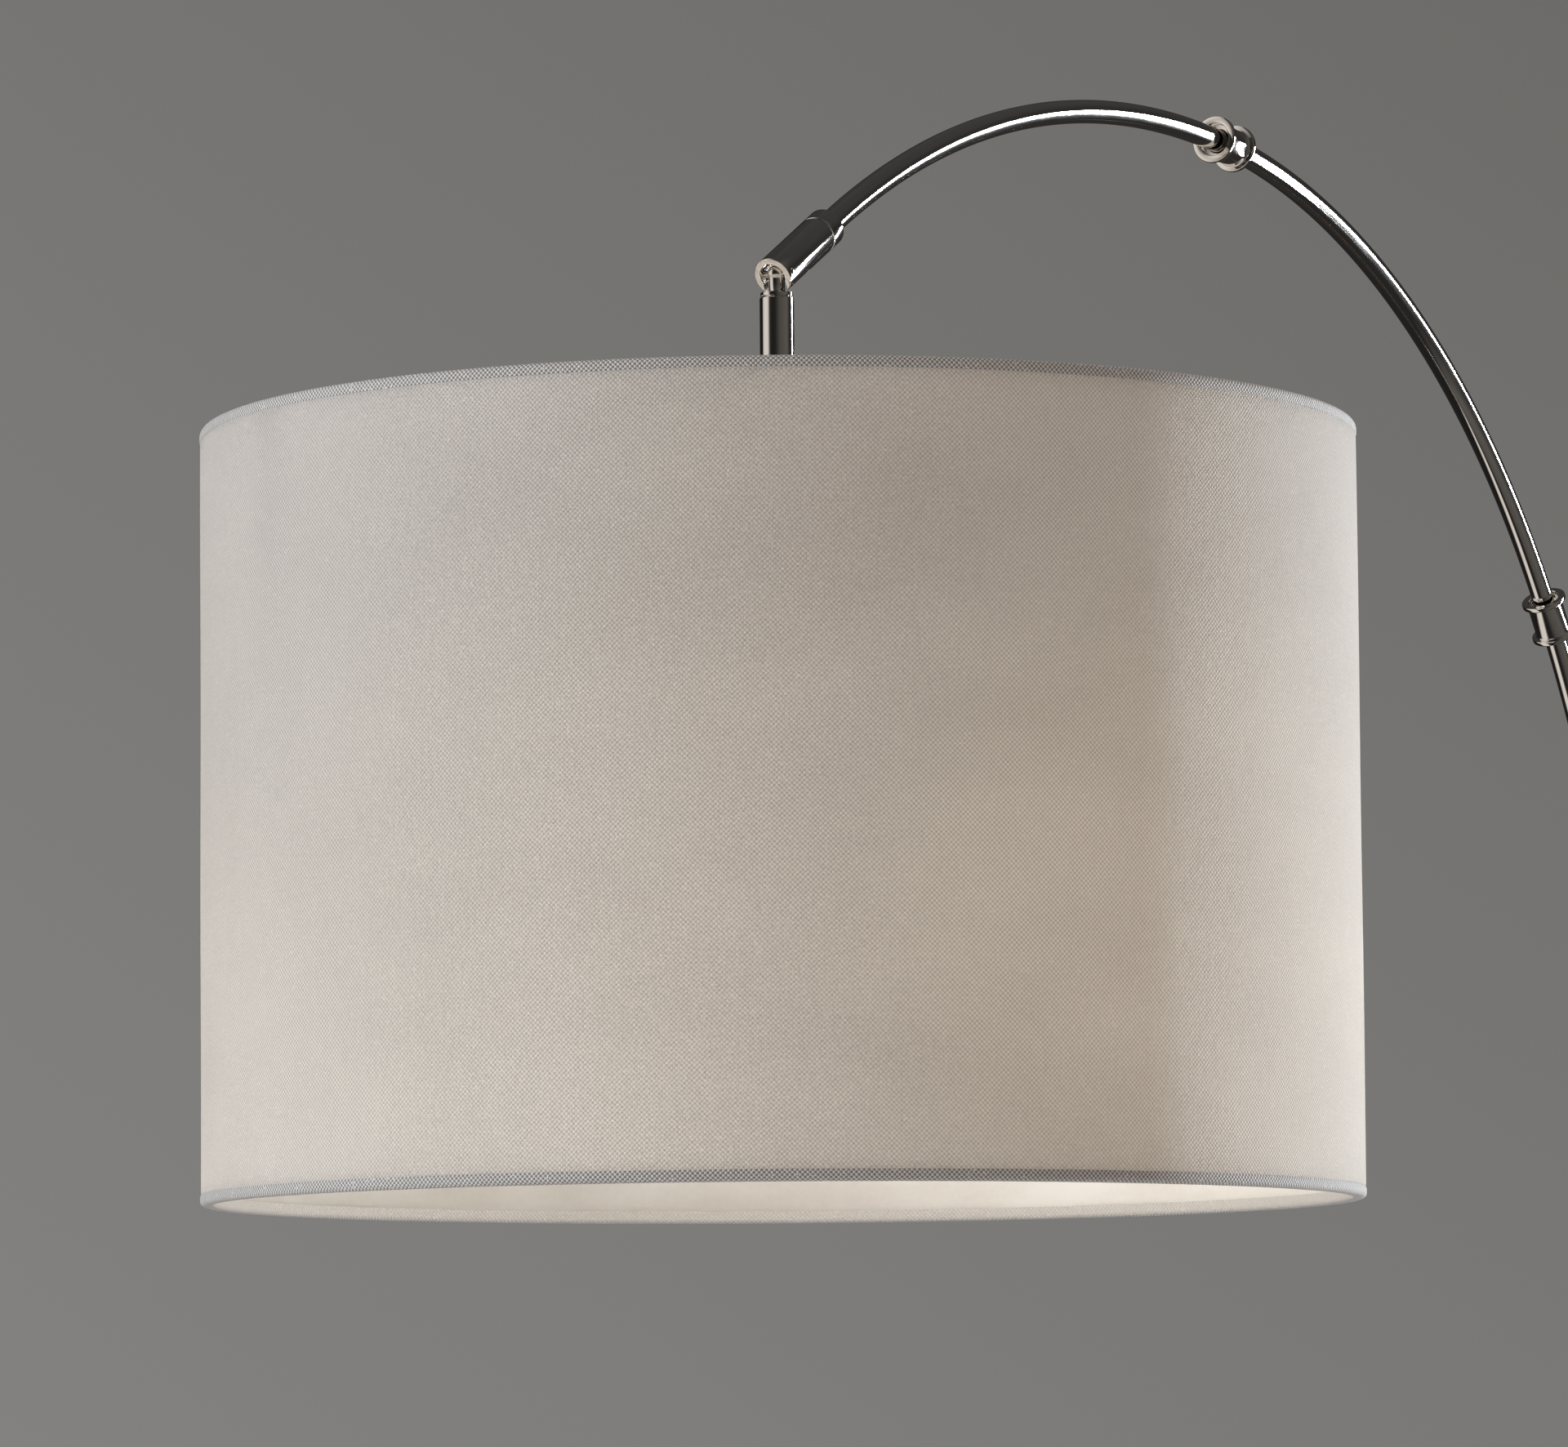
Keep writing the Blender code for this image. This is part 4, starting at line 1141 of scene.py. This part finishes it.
def wireMesh(points, radius, sides=16):
    bm = bmesh.new()
    layer = bm.verts.layers.float_vector.new("grain")
    rings = []
    for index, point in enumerate(points):
        ahead = points[min(index + 1, len(points) - 1)] - points[max(index - 1, 0)]
        side = Vector((0, 1, 0))
        up = ahead.cross(side).normalized()
        ring = []
        for corner in range(sides):
            angle = 2 * math.pi * corner / sides
            vert = bm.verts.new(point + radius * (side * math.cos(angle) + up * math.sin(angle)))
            vert[layer] = point / grainLong
            ring.append(vert)
        rings.append(ring)
    for low, high in zip(rings, rings[1:]):
        for corner in range(sides):
            after = (corner + 1) % sides
            bm.faces.new([low[corner], low[after], high[after], high[corner]])
    bm.faces.new(rings[0])
    bm.faces.new(rings[-1])
    bmesh.ops.recalc_face_normals(bm, faces=bm.faces)
    mesh = bpy.data.meshes.new("wire")
    bm.to_mesh(mesh)
    bm.free()
    mesh.shade_smooth()
    return mesh


def ringMesh(name, radius, wire):
    around = [2 * math.pi * step / 16 for step in range(16)]
    outline = [(radius + wire * math.cos(a), wire * math.sin(a)) for a in around]
    return turnedMesh(name, outline, 192)


def makeSpider():
    s = spider
    ringRadius = shadeRadius - s["inset"]
    mesh = ringMesh("shadeRingBottom", ringRadius, s["wire"])
    at = Matrix.Translation((shadeX, 0, shadeFoot + s["wireIn"]))
    addPiece("shadeRingBottom", mesh, enamel, "shade", "shade_ring_bottom", at)
    mesh = ringMesh("shadeRingTop", ringRadius, s["wire"])
    at = Matrix.Translation((shadeX, 0, shadeTop - s["wireIn"]))
    addPiece("shadeRingTop", mesh, enamel, "shade", (), at)
    hubLevel = -(s["hubTop"] + s["hubBottom"]) / 2
    belowHem = -shade["hemInside"] - s["wire"] - 0.0012
    route = [
        Vector((ringRadius - 0.0003, 0, -s["wireIn"])),
        Vector((ringRadius - 0.0003, 0, belowHem + 0.0015)),
        Vector((ringRadius - 0.005, 0, belowHem - 0.001)),
        Vector((ringRadius * 0.80, 0, belowHem - 0.004)),
        Vector((ringRadius * 0.45, 0, hubLevel * 0.45)),
        Vector((s["hubRadius"] + 0.016, 0, hubLevel + 0.006)),
        Vector((s["hubRadius"] - 0.002, 0, hubLevel)),
    ]
    oneArm = addObject("work", wireMesh(smoothPoints(route, 8), s["wire"]))
    values = {"Count": 3, "Radius": 0.0, "First Angle": math.pi / 2, "Finish": enamel}
    mesh = runTree(oneArm, roundTree, values)
    addPiece("spiderArms", mesh, enamel, "shade", "shade_spider", atShadeTop)
    outline = [
        (s["hubBore"], -s["hubBottom"]),
        (s["hubRadius"], -s["hubBottom"]),
        (s["hubRadius"], -s["hubTop"]),
        (s["hubBore"], -s["hubTop"]),
    ]
    mesh = turnedMesh("spiderHub", softened(outline, 0.0004), 96)
    addPiece("spiderHub", mesh, enamel, "shade", (), atShadeTop)


makeSpider()
makeShade()
print("shade made")

holder = {
    "capTop": 0.0483,
    "capBottom": 0.0635,
    "shellBottom": 0.1120,
    "radius": 0.0166,
    "wall": 0.0010,
    "nipple": 0.0052,
}
switch = {"shaft": 0.0025, "shaftHole": 0.0030, "knob": 0.0064, "start": 0.0205, "end": 0.0355}
bulb = {"radius": 0.030, "bottom": 0.1960, "cap": 0.0128, "capFoot": 0.1110, "wall": 0.0008}


def makeHolder():
    h = holder
    capTop, capBottom, radius, wall = h["capTop"], h["capBottom"], h["radius"], h["wall"]
    outline = [
        (h["nipple"], -capTop),
        (0.0080, -capTop),
        (0.0085, -capTop - 0.0030),
        (0.0130, -capTop - 0.0050),
        (0.0160, -capTop - 0.0085),
        (radius, -capBottom),
        (radius - wall, -capBottom),
        (0.0150, -capTop - 0.0092),
        (0.0122, -capTop - 0.0061),
        (0.0078, -capTop - 0.0042),
        (h["nipple"], -capTop - 0.0030),
    ]
    mesh = turnedMesh("socketCap", softened(outline, 0.0009, 5), 80)
    addPiece("socketCap", mesh, satinBrass, "shade", "socket_cap", atShadeTop)
    shoulder = spider["hubTop"] - clear
    high = -capBottom - clear
    outline = [
        (radius - wall, -h["shellBottom"]),
        (radius, -h["shellBottom"]),
        (radius, -shoulder),
        (radius + 0.0034, -shoulder),
        (radius + 0.0034, 0.0016 - shoulder),
        (radius, 0.0016 - shoulder),
        (radius, -0.0675),
        (radius + 0.0004, -0.0670),
        (radius + 0.0004, -0.0655),
        (radius, -0.0650),
        (radius, high),
        (radius - wall, high),
    ]
    shell = turnedMesh("socketShell", softened(outline, 0.0003), 80)
    shaftCut = rodMesh(switch["shaftHole"], 0.005, 0.025)
    lying = Matrix.Rotation(math.pi / 2, 4, "X")
    shaftCut.transform(Matrix.Translation((0, 0, switchAxis.z - shadeTop)) @ lying)
    shell = cutAway(shell, shaftCut)
    shell.set_sharp_from_angle(angle=math.radians(38))
    addPiece("socketShell", shell, satinBrass, "shade", "socket_shell", atShadeTop)

    hubBottom = spider["hubBottom"]
    outline = [
        (0.0202, -hubBottom - 0.0100),
        (0.0204, -hubBottom - 0.0020),
        (0.0210, -hubBottom - 0.0016),
        (0.0210, -hubBottom - clear),
        (radius + clear, -hubBottom - clear),
        (radius + clear, -hubBottom - 0.0100),
    ]
    mesh = turnedMesh("socketRing", softened(outline, 0.0004), 80)
    addPiece("socketRing", mesh, bakelite, "shade", "socket_ring", atShadeTop)
    rib = softened(rodOutline(0.0009, -0.0003, 0.0079), 0.0006, closed=False)
    oneRib = turnedMesh("rib", rib, 8, closed=False)
    oneRib.transform(Matrix.Translation((0, 0, -hubBottom - 0.0099)))
    values = {"Count": 36, "Radius": 0.0201, "First Angle": 0.0, "Finish": bakelite}
    mesh = runTree(addObject("work", oneRib), roundTree, values)
    addPiece("socketRingRibs", mesh, bakelite, "shade", (), atShadeTop)

    axis = Matrix.Translation((shadeX, 0, switchAxis.z)) @ lying
    outline = softened(rodOutline(switch["shaft"], 0.0060, 0.0262), 0.0004, closed=False)
    shaft = turnedMesh("switchShaft", outline, 32, closed=False)
    addPiece("switchShaft", shaft, satinBrass, "switch", "switch_shaft", axis)
    outline = [
        (0, switch["end"]),
        (0.0040, switch["end"]),
        (0.0054, 0.0345),
        (0.0060, 0.0225),
        (switch["knob"], 0.0222),
        (switch["knob"], switch["start"]),
        (0.0028, switch["start"]),
        (0.0028, 0.0265),
    ]
    mesh = turnedMesh("switchKnob", softened(outline, 0.0004, closed=False), 64, closed=False)
    addPiece("switchKnob", mesh, bakelite, "switch", "switch_knob", axis)
    outline = [(0, 0.0228), (0.0005, 0.0228), (0.00045, 0.0338), (0, 0.0338)]
    oneRib = turnedMesh("rib", softened(outline, 0.0003, closed=False), 8, closed=False)
    values = {"Count": 20, "Radius": 0.0057, "First Angle": 0.0, "Finish": bakelite}
    mesh = runTree(addObject("work", oneRib), roundTree, values)
    addPiece("switchKnobRibs", mesh, bakelite, "switch", (), axis)


def makeBulb():
    b = bulb
    cap = b["cap"]
    outline = [
        (cap, -0.1125),
        (cap, -0.0880),
        (0.0060, -0.0858),
        (0.0060, -0.0866),
        (cap - 0.0006, -0.0886),
        (cap - 0.0006, -0.1125),
    ]
    body = addObject("work", turnedMesh("bulbCap", softened(outline, 0.0002), 64))
    body.data.transform(Matrix.Translation((0, 0, b["capFoot"])))
    values = {
        "Turns": 5.5,
        "Radius": cap - 0.0001,
        "Height": 0.0205,
        "Wire": 0.00045,
        "Finish": bulbMetal,
    }
    mesh = runTree(body, threadTree, values)
    at = atShadeTop @ Matrix.Translation((0, 0, -b["capFoot"]))
    addPiece("bulbCap", mesh, bulbMetal, "shade", "bulb_cap", at)
    middle = b["bottom"] - b["radius"]
    neck = cap - 0.0009
    corners = [(neck, -0.0950), (neck, -0.1130), (0.0155, -0.1240), (0.0200, -0.1360)]
    lobe = [math.radians(35 - 5 * step) for step in range(26)]
    outside = smoothPoints([Vector(corner) for corner in corners], 6)
    for angle in lobe:
        across, upward = b["radius"] * math.cos(angle), b["radius"] * math.sin(angle)
        outside.append(Vector((max(0.0, across), upward - middle)))
    outside[-1].x = 0
    thin = []
    for index, point in enumerate(outside):
        ahead = outside[min(index + 1, len(outside) - 1)] - outside[max(index - 1, 0)]
        inward = Vector((ahead.y, -ahead.x)).normalized() * -b["wall"]
        if point.x + inward.x > point.x:
            inward = -inward
        thin.append(point + inward)
    thin[-1] = Vector((0, -b["bottom"] + b["wall"]))
    outline = [(p.x, p.y) for p in reversed(thin)] + [(p.x, p.y) for p in outside]
    mesh = turnedMesh("bulbGlass", outline, 72, closed=False)
    addPiece("bulbGlass", mesh, frosted, "shade", "bulb_glass", atShadeTop)


makeHolder()
makeBulb()
print("lampholder and bulb made")

hidden = {
    castIron: ["base_weight"],
    zinc: [
        "base_stud",
        "base_washer",
        "base_nut",
        "arc_nipple_lower",
        "arc_nipple_upper",
        "pole_nipple_lower",
        "pole_nipple_middle",
        "pole_nipple_top",
        "socket_locknut",
        "stem_nipple",
    ],
    blackMoulding: ["lead_in_pole", "lead_in_stem"],
    bakelite: ["socket_insert"],
    card: ["socket_liner"],
    satinBrass: ["socket_screw_shell", "socket_contact"],
    bulbMetal: ["bulb_contact"],
}
for material, nodes in hidden.items():
    for node in nodes:
        slots = frame["nodes"][node].material_slots
        for slot in slots:
            slot.link = "OBJECT"
            slot.material = material
print("inner pieces finished")

# The studio, as (right, away, up) from the middle of the shade as the camera sees it
studioOrigin = Vector((shadeX, 0, (shadeFoot + shadeTop) / 2))
lights = {
    "leftKey": {
        "at": (-2.6, -0.75, 0.35),
        "size": (3.0, 3.0),
        "power": 65,
        "colour": (0.855, 0.92, 1.0),
        "inMetal": False,
    },
    "rightStrip": {
        "at": (1.62, 0.99, 0.0),
        "size": (0.16, 1.2),
        "power": 38.5,
        "colour": (0.88, 0.935, 1.0),
        "inMetal": True,
    },
}
lampGlow = {
    "at": (0.014, 0.010, -0.070),
    "size": 0.03,
    "power": 1.4,
    "colour": (1.0, 0.965, 0.89),
    "inMetal": False,
}
studio = {
    "backdropHigh": (0.150, 0.147, 0.140),
    "backdropLow": (0.226, 0.223, 0.215),
    "backdropLean": 0.7,  # how much its shading leans over to the right
    "backdropFrom": -0.06,
    "backdropTo": 0.25,
    "ambientColour": (0.315, 0.272, 0.250),
    # What the polished metal sees: brightness round the studio, in degrees from the camera's side
    "around": [(-180, 0.022), (-112, 0.010), (-100, 0.70), (-66, 0.74), (-50, 0.03), (-30, 0.012)],
    "aroundRight": [(-8, 0.020), (20, 0.075), (70, 0.105), (92, 0.020), (180, 0.030)],
    "ceiling": 0.022,
    "panelColour": (1.0, 0.93, 0.87),
    "floorRadius": 3.0,
    "floorFadeFrom": 1.3,
    "floorFadeTo": 2.9,
    "floorDark": (0.74, 0.735, 0.725),
    "floorLight": (0.80, 0.795, 0.785),
}
# The camera stands off by shade radii and looks up, its angles in degrees
view = {
    "lens": 190.7,
    "sensor": 36,
    "distance": 1 / 0.0700,
    "below": 0.519,
    "turn": -0.028,
    "tilt": 5.39,
    "roll": -0.43,
}


def fromStudio(right, away, up):
    return studioOrigin + Matrix.Rotation(studioTurn, 3, "Z") @ Vector((right, away, up))


def addLight(name, data, look):
    data.energy = look["power"]
    data.color = look["colour"]
    obj = bpy.data.objects.new(name, data)
    bpy.context.scene.collection.objects.link(obj)
    obj.location = fromStudio(*look["at"])
    obj.rotation_mode = "QUATERNION"
    obj.visible_camera = False
    obj.visible_glossy = look["inMetal"]
    return obj


def makeLights():
    for name, look in lights.items():
        data = bpy.data.lights.new(name, "AREA")
        data.shape = "RECTANGLE"
        data.size, data.size_y = look["size"]
        obj = addLight(name, data, look)
        obj.rotation_quaternion = (studioOrigin - obj.location).to_track_quat("-Z", "Y")
    data = bpy.data.lights.new("lampGlow", "POINT")
    data.shadow_soft_size = lampGlow["size"]
    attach(addLight("lampGlow", data, lampGlow), "shade")  # it tilts with the shade


def partAlong(tree, ray, direction):
    sockets = {0: ray, 1: tuple(direction)}
    return put(tree, "ShaderNodeVectorMath", sockets, operation="DOT_PRODUCT").outputs["Value"]


def makeWorld():
    world = bpy.data.worlds.new("studio")
    bpy.context.scene.world = world
    world.use_nodes = True
    tree = world.node_tree
    tree.nodes.clear()
    path = put(tree, "ShaderNodeLightPath").outputs
    ray = put(tree, "ShaderNodeTexCoord").outputs["Generated"]
    upward = put(tree, "ShaderNodeSeparateXYZ", {"Vector": ray}).outputs["Z"]
    toRight = partAlong(tree, ray, fromStudio(1, 0, 0) - studioOrigin)
    toBack = partAlong(tree, ray, fromStudio(0, 1, 0) - studioOrigin)
    lean = calc(tree, "MULTIPLY", toRight, studio["backdropLean"])
    slope = calc(tree, "ADD", upward, lean)
    rise = fit(tree, slope, studio["backdropFrom"], studio["backdropTo"], 1.0, 0.0)
    drop = blendColour(tree, rise, studio["backdropHigh"], studio["backdropLow"])
    backdrop = put(tree, "ShaderNodeBackground", {"Color": drop})
    ambient = put(tree, "ShaderNodeBackground", {"Color": (*studio["ambientColour"], 1)})
    # The panel on the camera's left and the dim walls, as the metal mirrors them
    bearing = calc(tree, "ARCTAN2", toRight, calc(tree, "MULTIPLY", toBack, -1.0))
    ramp = put(tree, "ShaderNodeValToRGB", {"Fac": fit(tree, bearing, -math.pi, math.pi, 0.0, 1.0)})
    stops = ramp.color_ramp.elements
    for index, (degrees, level) in enumerate(studio["around"] + studio["aroundRight"]):
        stop = stops[index] if index < len(stops) else stops.new(1.0)
        stop.position = degrees / 360 + 0.5
        stop.color = (level, level, level, 1)
    overhead = fit(tree, upward, 0.30, 0.62, 0.0, studio["ceiling"])
    sockets = {"Red": overhead, "Green": overhead, "Blue": overhead}
    lifted = put(tree, "ShaderNodeCombineColor", sockets).outputs["Color"]
    seen = blendColour(tree, 1.0, ramp.outputs["Color"], studio["panelColour"], "MULTIPLY")
    seen = blendColour(tree, 1.0, seen, lifted, "ADD")
    gloom = put(tree, "ShaderNodeBackground", {"Color": seen})
    mixed = blendShaders(tree, path["Is Glossy Ray"], ambient, gloom)
    mixed = blendShaders(tree, path["Is Camera Ray"], mixed, backdrop)
    put(tree, "ShaderNodeOutputWorld", {"Surface": mixed.outputs["Shader"]})


def makeFloor():
    material, tree = newMaterial("studioFloor")
    place = put(tree, "ShaderNodeTexCoord").outputs["Object"]
    mottle = fit(tree, noise(tree, place, 3.0, 5.0, 0.6), 0.3, 0.7, 0.0, 1.0)
    colour = blendColour(tree, mottle, studio["floorDark"], studio["floorLight"])
    shader = put(tree, "ShaderNodeBsdfPrincipled", {"Base Color": colour, "Roughness": 0.6})
    # The pale floor fades out before the backdrop, so it has no edge
    away = put(tree, "ShaderNodeVectorMath", {0: place}, operation="LENGTH").outputs["Value"]
    fade = {
        "Value": away,
        "From Min": studio["floorFadeFrom"],
        "From Max": studio["floorFadeTo"],
    }
    gone = put(tree, "ShaderNodeMapRange", fade, interpolation_type="SMOOTHSTEP")
    unseen = put(tree, "ShaderNodeBsdfTransparent")
    surface(tree, blendShaders(tree, gone.outputs["Result"], shader, unseen))
    bm = bmesh.new()
    bmesh.ops.create_circle(bm, cap_ends=True, segments=96, radius=studio["floorRadius"])
    mesh = bpy.data.meshes.new("floor")
    bm.to_mesh(mesh)
    bm.free()
    mesh.materials.append(material)
    floor = addObject("floor", mesh)
    floor.visible_glossy = False  # the metal mirrors a dim room, not the pale floor


def makeCamera():
    scene = bpy.context.scene
    scene.view_settings.view_transform = "Standard"
    camera = bpy.data.objects.new("camera", bpy.data.cameras.new("camera"))
    scene.collection.objects.link(camera)
    camera.data.sensor_width = view["sensor"]
    camera.data.lens = view["lens"]
    camera.data.clip_end = 100
    spot = Vector((0, -shadeRadius * view["distance"], -view["below"] * shadeRadius))
    where = Vector((shadeX, 0, shadeFoot)) + Matrix.Rotation(studioTurn, 3, "Z") @ spot
    turn = Matrix.Rotation(studioTurn + math.radians(view["turn"]), 4, "Z")
    tilt = Matrix.Rotation(math.radians(90 + view["tilt"]), 4, "X")
    roll = Matrix.Rotation(math.radians(view["roll"]), 4, "Z")
    camera.matrix_world = Matrix.Translation(where) @ turn @ tilt @ roll
    scene.camera = camera


makeLights()
makeWorld()
makeFloor()
makeCamera()
print("studio made")
